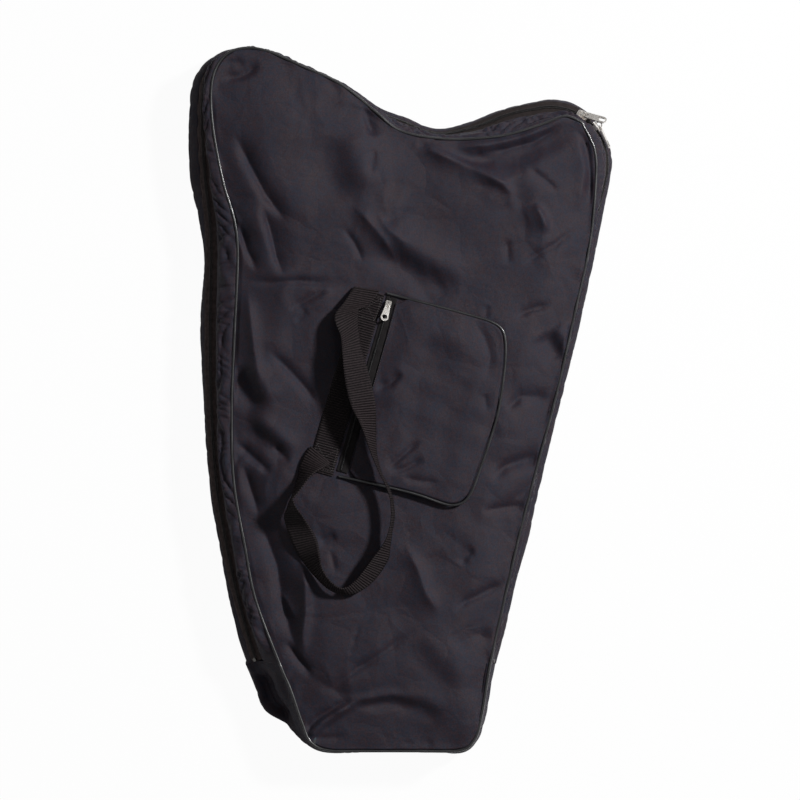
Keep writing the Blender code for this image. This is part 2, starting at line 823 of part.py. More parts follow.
panels(wall, back_shell, lid)
front_and_back_walls(wall, zip_end_index, back_shell, lid)
foot_wall(wall, zip_end_index, back_shell)
zip_stops(wall, zip_end_index, back_shell)
main_slider("left", left_slider_angle, corner_px[0][3], left_pull_lift, lid)
main_slider("right", right_slider_angle, right_lean, right_pull_turn, lid)
pocket(deck_height, lid)
webbing_pieces(deck_height, lid)
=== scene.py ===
"""Looks of a padded zip-up cover for a small harp, empty and closed, lying on its back."""

import math

import bmesh
import bpy
import numpy as np
from mathutils import Matrix, Vector


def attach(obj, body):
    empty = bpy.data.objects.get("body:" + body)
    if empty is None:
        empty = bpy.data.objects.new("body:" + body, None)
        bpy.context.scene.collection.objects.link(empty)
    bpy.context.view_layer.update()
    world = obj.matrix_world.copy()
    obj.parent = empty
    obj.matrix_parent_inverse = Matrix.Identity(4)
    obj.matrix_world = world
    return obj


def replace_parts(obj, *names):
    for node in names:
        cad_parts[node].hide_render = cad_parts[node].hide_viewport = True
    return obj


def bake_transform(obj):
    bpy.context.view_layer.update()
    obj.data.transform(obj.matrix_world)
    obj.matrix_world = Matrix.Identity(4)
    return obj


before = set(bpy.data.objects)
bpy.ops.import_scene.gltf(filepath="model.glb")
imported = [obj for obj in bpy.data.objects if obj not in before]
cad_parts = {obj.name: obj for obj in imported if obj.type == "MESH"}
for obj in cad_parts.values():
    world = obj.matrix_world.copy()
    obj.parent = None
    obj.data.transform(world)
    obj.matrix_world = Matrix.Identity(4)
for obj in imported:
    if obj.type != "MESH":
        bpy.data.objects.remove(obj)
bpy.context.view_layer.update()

# Camera, floor and light
# The cover is looked at from straight above. One soft light stands to the upper right, and two
# faint ones and a plain pale room fill the shadows.
metres_per_px = 0.00146
picture_middle = Vector((0.0001, 0.0020, 0.084))
picture_width = 800 * metres_per_px
camera_distance = 6.5
floor_colour = (0.88, 0.88, 0.88, 1.0)
floor_white_share = 0.96
floor_size = 20.0
floor_drop = 0.0005
key_azimuth, key_elevation = math.radians(30), math.radians(43)
room_strength = 0.04
room_shine = 0.24


def put(name, data):
    """Stand a new object in the scene."""
    thing = bpy.data.objects.new(name, data)
    bpy.context.scene.collection.objects.link(thing)
    return thing


def mesh_from(bm, name):
    mesh = bpy.data.meshes.new(name)
    bm.to_mesh(mesh)
    bm.free()
    return mesh


camera_data = bpy.data.cameras.new("camera")
camera_data.lens = camera_data.sensor_width * camera_distance / picture_width
camera_data.clip_end = 100.0
camera = put("camera", camera_data)
camera.location = picture_middle + Vector((0, 0, camera_distance))
bpy.context.scene.camera = camera
bpy.context.scene.view_settings.view_transform = "Standard"


class Value:
    """A socket of a finish, so that sums on it read as plain expressions."""

    def __init__(self, finish, socket):
        self.finish = finish
        self.socket = socket

    def __add__(self, other):
        return self.finish.maths("ADD", self, other)

    def __mul__(self, other):
        return self.finish.maths("MULTIPLY", self, other)


class Finish:
    """A material and the nodes that colour, roughen and emboss it."""

    def __init__(self, name, **settings):
        self.material = bpy.data.materials.new(name)
        self.material.use_nodes = True
        self.tree = self.material.node_tree
        self.shader = self.tree.nodes["Principled BSDF"]
        for socket, value in settings.items():
            self.shader.inputs[socket.replace("_", " ")].default_value = value

    def add(self, kind, settings=None, output=0, **inputs):
        node = self.tree.nodes.new("ShaderNode" + kind)
        for key, value in (settings or {}).items():
            setattr(node, key, value)
        for key, value in inputs.items():
            name = key.replace("_", " ")
            self.link(value, node.inputs[int(name[2:]) if name.startswith("in") else name])
        return Value(self, node.outputs[output])

    def link(self, value, socket):
        if isinstance(value, Value):
            self.tree.links.new(value.socket, socket)
        else:
            socket.default_value = value

    def noise(self, where, scale, detail=2.0, roughness=0.5, output=0):
        return self.add("TexNoise", None, output, Vector=where, Scale=scale, Detail=detail,
                        Roughness=roughness)

    def on_cloth(self):
        """Places on the flat cloth, and how far along and across it they are."""
        flat = self.add("UVMap", {"uv_map": "cloth"})
        along = self.add("SeparateXYZ", None, 0, Vector=flat)
        return flat, along, Value(self, along.socket.node.outputs[1])

    def tinted(self, first, second):
        return self.add("VectorMath", {"operation": "MULTIPLY"}, 0, in0=first, in1=second)

    def maths(self, operation, *values):
        inputs = {f"in{index}": value for index, value in enumerate(values)}
        return self.add("Math", {"operation": operation}, **inputs)

    def ramp(self, factor, *stops):
        """A ramp whose stops are (place, grey or colour)."""
        value = self.add("ValToRGB", None, 0, Fac=factor)
        elements = value.socket.node.color_ramp.elements
        for index, (place, colour) in enumerate(stops):
            element = elements[index] if index < 2 else elements.new(place)
            element.position = place
            element.color = (*colour, 1.0) if isinstance(colour, tuple) else (colour,) * 3 + (1.0,)
        return value

    def mix(self, factor, first, second):
        value = self.add("Mix", {"data_type": "RGBA"}, 2)
        node = value.socket.node
        for socket, entry in ((node.inputs[0], factor), (node.inputs[6], first),
                              (node.inputs[7], second)):
            if isinstance(entry, tuple):
                entry = (*entry, 1.0)
            self.link(entry, socket)
        return value

    def bump(self, height, strength, distance, under=None):
        inputs = {"Height": height, "Strength": strength, "Distance": distance}
        if under is not None:
            inputs["Normal"] = under
        return self.add("Bump", None, 0, **inputs)

    def finish(self, **inputs):
        for key, value in inputs.items():
            self.link(value, self.shader.inputs[key.replace("_", " ")])
        return self.material


floor_finish = Finish("floor", Roughness=0.9, Base_Color=floor_colour)
floor_seen = floor_finish.add("LightPath")
floor_shown = floor_finish.add("MixShader", in0=floor_seen * floor_white_share,
                               in1=Value(floor_finish, floor_finish.shader.outputs[0]),
                               in2=floor_finish.add("Emission"))
floor_finish.link(floor_shown, floor_finish.tree.nodes["Material Output"].inputs[0])
floor_bm = bmesh.new()
bmesh.ops.create_grid(floor_bm, x_segments=1, y_segments=1, size=floor_size)
floor = put("floor", mesh_from(floor_bm, "floor"))
floor.location.z = -floor_drop
floor.data.materials.append(floor_finish.material)


def soft_lamp(name, toward, distance, power, size):
    """A round lamp that shines on the cover from one side."""
    data = bpy.data.lights.new(name, "AREA")
    data.shape = "DISK"
    data.size = size
    data.energy = power
    lamp = put(name, data)
    lamp.location = Vector(toward).normalized() * distance
    lamp.rotation_euler = Vector(toward).to_track_quat("Z", "Y").to_euler()


key_toward = (math.cos(key_azimuth) * math.cos(key_elevation),
              math.sin(key_azimuth) * math.cos(key_elevation), math.sin(key_elevation))
soft_lamp("key", key_toward, distance=5.6, power=346.0, size=0.66)
soft_lamp("top_light", (0.20, 0.24, 0.95), distance=3.8, power=6.0, size=0.8)
soft_lamp("left_light", (-0.76, -0.16, 0.62), distance=3.8, power=3.5, size=1.2)

room = bpy.data.worlds.new("room")
bpy.context.scene.world = room
room.use_nodes = True
room_nodes, room_link = room.node_tree.nodes, room.node_tree.links.new
room_plain, room_white = room_nodes["Background"], room_nodes.new("ShaderNodeBackground")
for background, strength in ((room_plain, room_strength), (room_white, 1.0)):
    background.inputs[0].default_value = (1.0, 1.0, 1.0, 1.0)
    background.inputs[1].default_value = strength
room_seen = room_nodes.new("ShaderNodeLightPath")
room_share = room_nodes.new("ShaderNodeMath")
room_share.operation = "MULTIPLY_ADD"
room_share.inputs[1].default_value = room_shine
room_mix = room_nodes.new("ShaderNodeMixShader")
room_link(room_seen.outputs["Is Glossy Ray"], room_share.inputs[0])
room_link(room_seen.outputs["Is Camera Ray"], room_share.inputs[2])
for socket, source in enumerate((room_share, room_plain, room_white)):
    room_link(source.outputs[0], room_mix.inputs[socket])
room_link(room_mix.outputs[0], room_nodes["World Output"].inputs[0])

# Lines of the wall
# The cover's wall is sewn up from bands that follow four lines: the front seam, the zip, the
# widest line and the back seam. They are written as seen from the front, in picture units.
bag_width, bag_length = 0.618, 1.038
width_px, length_px = 423.0, 711.0
centre_px = (399.925, 401.34)
zip_height = 0.050
front_seam_height = 0.084
widest_height = 0.026
piping_radius = 0.002
back_seam_inset = 0.0175
corner_centre_px = (551.0, 163.0)
corner_radius = 0.0832
panel_centre_px = (400, 400)
# Each row: its places on the front seam, zip and widest line, and how far the wall leans in degrees
left_and_top_px = [
    ((280, 664), (257, 662), (246, 666), 45),
    ((256, 600), (239, 602), (230, 600), 50),
    ((245, 545), (226, 542), (220, 543), 55),
    ((234, 480), (216, 480), (210, 480), 55),
    ((232, 408), (211, 402), (205, 402), 55),
    ((235, 330), (210, 330), (201, 330), 55),
    ((238, 258), (211, 262), (205, 262), 55),
    ((235, 222), (210, 222), (200, 224), 55),
    ((223, 180), (205, 176), (191, 180), 50),
    ((213, 125), (202, 126), (188, 124), 45),
    ((212, 84), (203, 88), (191, 84), 40),
    ((221, 60), (211, 66), (204, 62), 25),
    ((238, 49), (232, 55), (228, 48), 10),
    ((264, 50), (264, 54), (264, 48), 10),
    ((302, 66), (302, 69), (302, 63), 10),
    ((342, 85), (342, 88), (342, 82), 10),
    ((376, 112), (378, 111), (378, 106), 15),
    ((399, 130), (403, 121), (403, 115), 20),
    ((434, 138), (436, 133), (436, 129), 25),
    ((470, 139), (470, 128), (470, 122), 40),
    ((506, 135), (508, 114), (506, 108), 50),
]
# Each row: its place on the front seam, the way it faces in degrees, how far the widest line lies
# outside the zip in picture units, and the lean
corner_px = [
    ((534, 127), -15, 7, 55),
    ((551, 121), 5, 7, 55),
    ((566, 116), 20, 7, 55),
    ((581, 122), 39.5, 6, 55),
    ((584, 127), 44.5, 5, 15),
    ((590, 138), 60, 4, 15),
    ((595, 152), 80, 4, 15),
    ((596, 177), 103.2, 4, 15),
]
# Each row: its places on the front seam and widest line, and its share of the way down the straight
# part of the zip
right_px = [
    ((590, 242), (597, 242), 0.135),
    ((573, 320), (581, 320), 0.295),
    ((557, 391), (562, 391), 0.441),
    ((536, 470), (543, 470), 0.602),
    ((518, 540), (527, 540), 0.746),
    ((503, 605), (510, 605), 0.879),
    ((490, 664), (497, 664), 1.0),
]
right_end_px = (492.3, 664.0)
right_lean = 15
# Each row: its places on the front seam and widest line, and whether a straight line follows
foot_px = [
    ((482, 712), (488, 712), False),
    ((474, 740), (478, 741), False),
    ((455, 751), (457, 755), True),
    ((396, 751), (396, 755), True),
    ((335, 751), (333, 755), False),
    ((312, 743), (306, 746), False),
    ((302, 722), (286, 726), False),
    ((291, 690), (264, 700), False),
]
steps_between = 24


def plan(points):
    """Turn picture places into metres, seen from above."""
    points = np.asarray(points, float)
    return np.stack([(points[..., 0] - centre_px[0]) * bag_width / width_px,
                     (centre_px[1] - points[..., 1]) * bag_length / length_px], -1)


def direction(angle):
    angle = np.radians(angle)
    return np.stack([np.sin(angle), np.cos(angle)], -1)


def unit(vectors):
    return vectors / np.linalg.norm(vectors, axis=-1, keepdims=True)


def between(before, start, end, after, share):
    """A place on the smooth line from start to end that heeds the points beyond them."""
    return 0.5 * (2 * start + (end - before) * share
                  + (2 * before - 5 * start + 4 * end - after) * share ** 2
                  + (3 * start - before - 3 * end + after) * share ** 3)


def distances(line):
    """Distance along a broken line to each of its points."""
    steps = np.linalg.norm(np.diff(line, axis=0), axis=1)
    return np.concatenate([[0.0], np.cumsum(steps)])


def spread(line, count):
    """Evenly spaced places on a broken line."""
    along = distances(line)
    places = np.linspace(0, along[-1], count)
    return np.stack([np.interp(places, along, column) for column in np.transpose(line)], -1)


def wall_rows():
    """The measured places round the wall from the left end of the zip, and which ends the zip.

    A row holds the kind of line on to the next row, its places on the front seam, zip and widest
    line, the lean in degrees and, on the corner's arc, the way it faces.
    """
    rows = [("curve", plan(front), plan(zip_place), plan(widest), lean, None)
            for front, zip_place, widest, lean in left_and_top_px]
    for front, angle, bulge, lean in corner_px:
        zip_place = plan(corner_centre_px) + direction(angle) * corner_radius
        widest = zip_place + direction(angle) * bulge * bag_width / width_px
        rows.append(("arc", plan(front), zip_place, widest, lean, angle))
    line_start = rows[-1][2]
    rows[-1] = ("line", *rows[-1][1:])
    for front, widest, share in right_px:
        zip_place = line_start + (plan(right_end_px) - line_start) * share
        rows.append(("line", plan(front), zip_place, plan(widest), right_lean, None))
    rows[-1] = ("foot", *rows[-1][1:])
    zip_end = len(rows) - 1
    for front, widest, straight in foot_px:
        middle = (plan(front) + plan(widest)) / 2
        rows.append(("base" if straight else "foot", plan(front), middle, plan(widest),
                     right_lean, None))
    return rows, zip_end


def wall_sample(around, share):
    """The wall's three lines, lean and facing, a share of the way from the second row to the third."""
    row, after = around[1:3]
    curve = [between(*(entry[k] for entry in around), share) for k in (1, 2, 3)]
    facing = None
    if row[0] == "arc":
        facing = direction(row[5] + (after[5] - row[5]) * share)
        curve[1] = plan(corner_centre_px) + facing * corner_radius
    if row[0] == "line":
        curve[1] = row[2] + (after[2] - row[2]) * share
    if row[0] == "base":
        curve = [row[k] + (after[k] - row[k]) * share for k in (1, 2, 3)]
    return curve, row[4] + (after[4] - row[4]) * share, facing


class Wall:
    """The lines of the wall, sampled clockwise all the way round from the left end of the zip."""

    def __init__(self):
        rows, zip_end = wall_rows()
        around = [[rows[(index + k) % len(rows)] for k in (-1, 0, 1, 2)] for index in range(len(rows))]
        samples = [wall_sample(four, step / steps_between)
                   for four in around for step in range(steps_between)]
        lines, leans, facings = zip(*samples)
        lines = np.array(lines)
        run = np.roll(lines[:, 1], -1, 0) - np.roll(lines[:, 1], 1, 0)
        square = unit(np.stack([-run[:, 1], run[:, 0]], -1))
        for index, facing in enumerate(facings):
            if facing is not None:
                square[index] = facing
        inward = unit(plan(panel_centre_px) - lines[:, 2])
        self.front, self.zip_line, self.widest = lines[:, 0], lines[:, 1], lines[:, 2]
        self.back = self.widest + inward * back_seam_inset
        self.lean = np.radians(np.array(leans))
        self.outward = square
        self.place = distances(np.concatenate([self.zip_line, self.zip_line[:1]]))
        self.length = self.place[-1]
        self.zip_end = self.place[zip_end * steps_between]

    def at(self, name, place):
        """Read one of the lines at distances along the zip."""
        table = getattr(self, name)
        table = np.concatenate([table, table[:1]])
        place = np.mod(place, self.length)
        if table.ndim == 1:
            return np.interp(place, self.place, table)
        return np.stack([np.interp(place, self.place, column) for column in table.T], -1)

    def tape(self, place, along_tape, out_of_tape):
        """A point on the zip's tapes, by its distance up the tape and out of its face."""
        lean = self.at("lean", place)
        outward = unit(self.at("outward", place))
        flat = (outward * (out_of_tape * np.cos(lean) - along_tape * np.sin(lean))[:, None]
                + self.at("zip_line", place))
        height = zip_height + along_tape * np.cos(lean) + out_of_tape * np.sin(lean)
        return np.concatenate([flat, height[:, None]], 1)

    def seam(self, name, place, height):
        """One of the lines, lifted to a height."""
        return np.column_stack([self.at(name, place), np.full(len(place), height)])


wall = Wall()


def smooth(value, low=0.0, high=1.0):
    """A soft step from 0 to 1."""
    share = np.clip((value - low) / (high - low), 0.0, 1.0)
    return share * share * (3 - 2 * share)


def clouds(x, y, scale, seed, waves=14):
    """Soft irregular swells about one unit high, a given distance across."""
    draw = np.random.RandomState(seed)
    total = np.zeros_like(x)
    for _ in range(waves):
        angle, phase = draw.uniform(0, 2 * math.pi, 2)
        step = 2 * math.pi / (scale * draw.uniform(0.7, 1.6))
        total += np.sin((x * math.cos(angle) + y * math.sin(angle)) * step + phase)
    return total / math.sqrt(waves)


# Front panel
# Foam between black oxford nylon and a lining, cut to the harp's outline and sewn to the gusset
# with piping in the seam. Empty and lying flat, it sags in long soft folds and sharp creases.
cloth_thickness = 0.0074
dome_height = 0.016
front_seam_top = front_seam_height + 0.0005
fold_strength = 1.75
fold_roundness = 0.0016
fold_fade = 0.30
# Each fold: its line, how far it reaches to the left and to the right of the line in picture units,
# its height in mm, and v for a valley, r for a ridge or s for a slope that rises to the left
front_folds = [
    ([(219, 78), (240, 77), (250, 72), (260, 61)], 6, 3, 3.6, "v"),
    ([(222, 63), (236, 62), (246, 66)], 3, 3, 1.6, "v"),
    ([(233, 130), (249, 163), (266, 195), (291, 227)], 10, 5, 6.4, "v"),
    ([(262, 202), (271, 232), (277, 258), (286, 278)], 12, 4, 6.4, "v"),
    ([(238, 220), (247, 250), (259, 273)], 6, 3, 4.2, "v"),
    ([(240, 281), (270, 283), (300, 281), (330, 284), (354, 282)], 4, 3, 3.2, "v"),
    ([(364, 105), (368, 122), (375, 140)], 8, 3, 4.2, "v"),
    ([(332, 106), (350, 102), (366, 108)], 3, 3, 1.1, "r"),
    ([(336, 126), (345, 160), (356, 205)], 17, 17, 3.2, "s"),
    ([(374, 146), (371, 177)], 3, 4, 2.2, "v"),
    ([(350, 204), (366, 218), (384, 240), (396, 262)], 7, 8, 4.0, "r"),
    ([(376, 214), (390, 231), (410, 247)], 4, 6, 2.6, "r"),
    ([(374, 232), (396, 250), (426, 268), (470, 290)], 12, 12, 4.6, "s"),
    ([(343, 228), (355, 244), (364, 264)], 3, 3, 2.4, "v"),
    ([(410, 141), (432, 151), (462, 164), (487, 175), (503, 184), (511, 195), (516, 212)],
     5, 10, 8.2, "r"),
    ([(418, 142), (431, 151)], 3, 5, 2.2, "v"),
    ([(475, 146), (480, 159)], 3, 3, 1.2, "v"),
    ([(478, 153), (505, 149), (532, 142), (552, 131), (567, 119)], 9, 4, 5.0, "v"),
    ([(440, 149), (475, 153), (507, 149), (534, 140), (558, 129), (578, 117)], 9, 9, 4.6, "s"),
    ([(580, 124), (587, 146), (590, 175), (590, 210)], 4, 9, 4.4, "v"),
    ([(500, 139), (528, 129), (556, 121)], 1.5, 1.5, 1.8, "v"),
    ([(526, 166), (540, 177), (560, 193)], 3, 3, 2.2, "v"),
    ([(533, 202), (541, 216), (548, 234)], 4, 12, 6.0, "r"),
    ([(507, 238), (508, 266)], 3, 4, 1.8, "v"),
    ([(519, 266), (537, 255), (556, 244), (577, 226)], 4, 4, 2.8, "v"),
    ([(575, 128), (584, 170), (578, 214)], 7, 10, 4.0, "r"),
    ([(513, 318), (530, 310), (552, 304)], 5, 3, 3.0, "v"),
    ([(487, 304), (485, 322)], 3, 3, 1.4, "v"),
    ([(547, 328), (556, 340), (567, 358)], 9, 9, 4.0, "s"),
    ([(503, 412), (520, 397), (552, 398)], 9, 5, 4.6, "v"),
    ([(490, 482), (505, 466), (522, 460), (545, 454)], 10, 6, 5.0, "v"),
    ([(480, 511), (505, 508), (528, 506)], 5, 3, 4.2, "v"),
    ([(246, 286), (251, 320), (254, 350), (262, 390)], 8, 12, 5.4, "r"),
    ([(243, 360), (252, 385), (270, 410)], 10, 10, 4.6, "s"),
    ([(267, 349), (285, 366), (301, 383), (321, 406)], 6, 4, 4.4, "v"),
    ([(288, 311), (306, 301), (330, 289)], 5, 3, 3.0, "v"),
    ([(295, 323), (308, 309)], 3, 3, 1.4, "v"),
    ([(235, 441), (252, 457), (274, 475)], 7, 3, 5.0, "v"),
    ([(245, 415), (270, 437), (297, 457)], 8, 8, 3.0, "s"),
    ([(272, 444), (291, 463)], 5, 3, 2.2, "v"),
    ([(243, 463), (250, 487), (260, 516)], 8, 4, 5.0, "v"),
    ([(253, 503), (264, 530), (277, 565), (282, 600), (290, 630), (302, 660)], 15, 7, 7.0, "v"),
    ([(299, 556), (306, 585), (306, 612), (303, 637), (304, 660)], 5, 12, 6.0, "r"),
    ([(279, 590), (288, 603), (296, 618)], 5, 5, 2.4, "r"),
    ([(285, 640), (298, 659), (314, 677)], 4, 4, 4.0, "v"),
    ([(322, 697), (340, 682), (358, 668), (378, 656), (400, 640), (421, 627)], 5, 3, 2.8, "v"),
    ([(297, 748), (312, 732), (334, 714), (360, 702), (392, 697), (424, 704)], 4, 5, 2.4, "s"),
    ([(392, 697), (420, 703), (448, 717)], 7, 7, 1.5, "s"),
    ([(300, 744), (322, 738), (350, 736)], 4, 4, 1.6, "v"),
    ([(362, 698), (338, 709), (320, 721), (304, 737), (286, 764)], 4, 3, 4.4, "s"),
    ([(345, 641), (351, 651), (360, 620)], 2, 2, 0.8, "v"),
    ([(318, 543), (338, 535)], 5, 3, 2.0, "v"),
    ([(330, 548), (336, 574)], 4, 3, 1.6, "v"),
    ([(403, 540), (418, 568), (426, 592), (441, 616)], 6, 11, 5.6, "r"),
    ([(452, 612), (466, 601), (482, 594), (507, 581)], 5, 3, 4.4, "v"),
    ([(460, 566), (466, 555), (475, 548)], 6, 4, 2.4, "v"),
    ([(410, 632), (435, 660), (464, 692)], 11, 11, 1.8, "s"),
    ([(452, 650), (470, 636), (494, 636)], 14, 8, 3.6, "v"),
    ([(402, 748), (413, 741)], 3, 3, 1.4, "v"),
    ([(425, 748), (431, 740)], 3, 3, 1.2, "v"),
]
band_line = plan([(371, 291), (321, 473)])
pocket_zip_line = plan([(390.5, 297), (340.5, 471.5)])
pocket_zip_length = float(distances(pocket_zip_line)[-1])
zip_run = (pocket_zip_line[1] - pocket_zip_line[0]) / pocket_zip_length
zip_side = np.array([-zip_run[1], zip_run[0]])
pocket_reach = 0.165
webbing_width = 0.038
swell_height, crumple_height, dent_height = 0.0013, 0.0030, 0.0011
# Beside the band and under the pocket the cloth is held, and only this share of a fold is left
flat_share = 0.06
seam_share, held_by_band, held_by_pocket = 0.026, 0.028, 0.012
dome_shoulder = 0.30
pocket_overlap = 0.020
crumple_bend = 0.012


def near_line(x, y, line):
    """Distance from a broken line, its side (1 on the left) and the share of the way along it."""
    before = distances(line)
    best = np.full(x.shape, np.inf)
    side, share = np.zeros_like(x), np.zeros_like(x)
    for start, end, past in zip(line[:-1], line[1:], before):
        length = np.linalg.norm(end - start)
        run = (end - start) / length
        dx, dy = x - start[0], y - start[1]
        along = np.clip(dx * run[0] + dy * run[1], 0, length)
        distance = np.hypot(dx - along * run[0], dy - along * run[1])
        nearer = distance < best
        best = np.where(nearer, distance, best)
        side = np.where(nearer, np.sign(run[0] * dy - run[1] * dx), side)
        share = np.where(nearer, (past + along) / before[-1], share)
    return best, side, share


def folded(x, y, folds):
    """Height that a list of folds adds to a flat cloth."""
    height = np.zeros_like(x)
    for line, left, right, rise, kind in folds:
        distance, side, share = near_line(x, y, plan(line))
        reach = np.where(side > 0, left, right) * metres_per_px
        ends = smooth(share, 0.0, fold_fade) * smooth(1 - share, 0.0, fold_fade)
        if kind == "s":
            across = distance / reach
            shape = side * across * np.exp(0.5 - 0.5 * across ** 2)
        else:
            across = (np.hypot(distance, fold_roundness) - fold_roundness) / reach
            shape = (1 if kind == "r" else -1) * np.exp(-across - 0.25 * across ** 2)
        height += shape * ends * rise * fold_strength / 1000
    return height


def beside_zip(along, out):
    """Places by their distance down the pocket's zip and away from it, on the pocket's side."""
    return (pocket_zip_line[0] + np.multiply.outer(along, zip_run)
            + np.multiply.outer(out, zip_side))


def from_pocket_zip(flat):
    """Distances down along the pocket's zip and out from it, on the pocket's side."""
    away = flat - pocket_zip_line[0]
    return away @ zip_run, away @ zip_side


def front_height(x, y, reach):
    """Height of the front panel's cloth, by place and by share of the way out from its middle."""
    dome = dome_height * smooth(1.0 - reach, 0.0, dome_shoulder) ** 0.8
    band, _, _ = near_line(x, y, band_line)
    zip_distance, _, _ = near_line(x, y, pocket_zip_line)
    down, out = from_pocket_zip(np.stack([x, y], -1))
    under = np.minimum(np.minimum(down, pocket_zip_length - down),
                       np.minimum(out + pocket_overlap, pocket_reach - out))
    from_band = np.minimum(band - webbing_width / 2, zip_distance)
    calm = smooth(from_band, 0.0, held_by_band) * smooth(-under, -held_by_pocket, held_by_pocket)
    edge = smooth(1.0 - reach, 0.0, seam_share)
    rumpled = smooth(clouds(x, y, 0.19, 17), -0.2, 1.3)
    bent_x = x + clouds(x, y, 0.16, 51) * crumple_bend
    bent_y = y + clouds(x, y, 0.16, 52) * crumple_bend
    swells = (clouds(x, y, 0.12, 3) * swell_height
              + abs(clouds(bent_x, bent_y, 0.10, 5, 9)) * crumple_height * rumpled
              - abs(clouds(bent_x, bent_y, 0.060, 8, 9)) * dent_height * rumpled)
    raised = (folded(x, y, front_folds) + swells) * edge * (flat_share + (1 - flat_share) * calm)
    return front_seam_top + dome + raised


def warped_grid(name, along, across, place, closed=False, lining_from=None):
    """A grid bent to shape. place(u, v) gives points and the flat cloth under them, in metres."""
    bm = bmesh.new()
    bmesh.ops.create_grid(bm, x_segments=along, y_segments=across, size=1.0)
    flat = np.array([vertex.co[:2] for vertex in bm.verts])
    points, cloth = place((flat[:, 0] + 1) / 2, (flat[:, 1] + 1) / 2)
    if lining_from is not None:
        for face in bm.faces:
            middle = sum(flat[vertex.index, 1] for vertex in face.verts) / 4
            face.material_index = int((middle + 1) / 2 > lining_from)
    layer = bm.loops.layers.uv.new("cloth")
    for vertex, point in zip(bm.verts, points):
        vertex.co = point
    cloth = cloth.tolist()
    for face in bm.faces:
        for loop in face.loops:
            loop[layer].uv = cloth[loop.vert.index]
    if closed:
        bmesh.ops.remove_doubles(bm, verts=bm.verts, dist=1e-6)
    if lining_from is not None:
        bmesh.ops.recalc_face_normals(bm, faces=bm.faces)
    return mesh_from(bm, name)


def add_piece(name, data, body, slot, *materials):
    """Put a finished mesh or curve in the scene, riding on a body."""
    piece = put(name, data)
    for material in materials:
        data.materials.append(material)
    if data.id_type == "MESH":
        data.shade_smooth()
    if body:
        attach(piece, body)
    return piece


def thicken(piece, thickness, offset=-1.0, inner=0):
    solidify = piece.modifiers.new("thickness", "SOLIDIFY")
    solidify.thickness = thickness
    solidify.offset = offset
    solidify.use_even_offset = False
    solidify.material_offset = inner
    return piece


thread_pitch = 0.0011


def nylon_finish(name, colour, weave_share=1.0):
    """Plain-woven nylon with a coated, faintly shiny face."""
    cloth = Finish(name, Roughness=0.6, Specular_IOR_Level=0.24, Sheen_Weight=0.03,
                   Sheen_Roughness=0.4)
    flat, along, across = cloth.on_cloth()
    threads = 2 * math.pi / thread_pitch
    weave = cloth.maths("SINE", along * threads) * cloth.maths("SINE", across * threads)
    speckle = cloth.noise(flat, 430.0, 3.0, 0.7)
    hue = cloth.noise(flat, 210.0, 4.0)
    patches = cloth.noise(flat, 28.0, 4.0, 0.6)
    warm = (colour[0] * 1.30, colour[1] * 0.98, colour[2] * 0.86)
    cool = (colour[0] * 0.74, colour[1] * 1.08, colour[2] * 1.14)
    tone = cloth.mix(cloth.ramp(hue * 0.7 + patches * 0.3, (0.40, 0.0), (0.60, 1.0)), warm, cool)
    shade = cloth.ramp(speckle * 0.8 + patches * 0.25 + weave * 0.05, (0.30, 0.55), (0.76, 1.42))
    base = cloth.tinted(tone, shade)
    rough = cloth.ramp(patches, (0.35, 0.52), (0.70, 0.68))
    fine = cloth.bump(weave, 0.5 * weave_share, 0.0002)
    rumple = cloth.noise(flat, 75.0, 3.0, 0.55)
    drift = cloth.noise(flat, 7.0, 3.0, output=1)
    drawn = cloth.add("VectorMath", {"operation": "MULTIPLY_ADD"}, 0, in0=drift,
                      in1=(0.10, 0.10, 0.0), in2=flat)
    facets = cloth.add("TexVoronoi", {"feature": "DISTANCE_TO_EDGE"}, 0, Vector=drawn, Scale=15.0)
    creased = cloth.bump(facets, 0.55 * weave_share, 0.0065, fine)
    normal = cloth.bump(rumple, 0.30, 0.0022, creased)
    return cloth.finish(Base_Color=base, Roughness=rough, Normal=normal)


nylon = nylon_finish("black_nylon", (0.0208, 0.0155, 0.0252))
lining_cloth = nylon_finish("lining_cloth", (0.05, 0.05, 0.056), weave_share=0.6)
cloth_rings, lining_rings = 130, 28
cloth_share = cloth_rings / (cloth_rings + lining_rings)
seam_puckers, pucker_height, pucker_fade = 57, 0.0006, 26


def within_seam(line, place, reach):
    """Places between a panel's middle (reach 0) and its seam (reach 1)."""
    centre = plan(panel_centre_px)
    edge = wall.at(line, place)
    edge = edge + unit(centre - edge) * piping_radius * 0.8
    return centre + (edge - centre) * reach[:, None]


def front_panel_place(u, v):
    place = u * wall.length
    under = v > cloth_share + 1e-6
    reach = np.where(under, (1 - v) / (1 - cloth_share), np.minimum(v / cloth_share, 1.0) ** 0.62)
    flat = within_seam("front", place, reach)
    height = front_height(flat[:, 0], flat[:, 1], reach)
    turn = 2 * math.pi * u
    pucker = np.sin(seam_puckers * turn + 2.2 * np.sin(8 * turn)) * pucker_height
    pucker *= np.exp(-(1 - reach) * pucker_fade)
    return np.column_stack([flat, height + pucker - under * cloth_thickness]), flat


def padded_part(name, body, along, across, place, thickness=None, **options):
    """Cloth, foam and lining of a panel or gusset as one piece."""
    mesh = warped_grid(name + "_pad", along, across, place, **options)
    piece = add_piece(name + "_pad", mesh, body, "black_nylon", nylon, lining_cloth)
    if thickness:
        thicken(piece, thickness, inner=1)
    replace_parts(piece, name + "_cover", name + "_foam", name + "_lining")


quick_share = 1.0
padded_part("front_panel", "lid", int(600 * quick_share), cloth_rings + lining_rings,
            front_panel_place, closed=True, lining_from=cloth_share)

# Back panel
# The same padded cloth, cut to the outline of the cover's back and sewn to the back gusset with
# a piping of its own. It lies flat on the surface under the cover.
back_sag = 0.0006


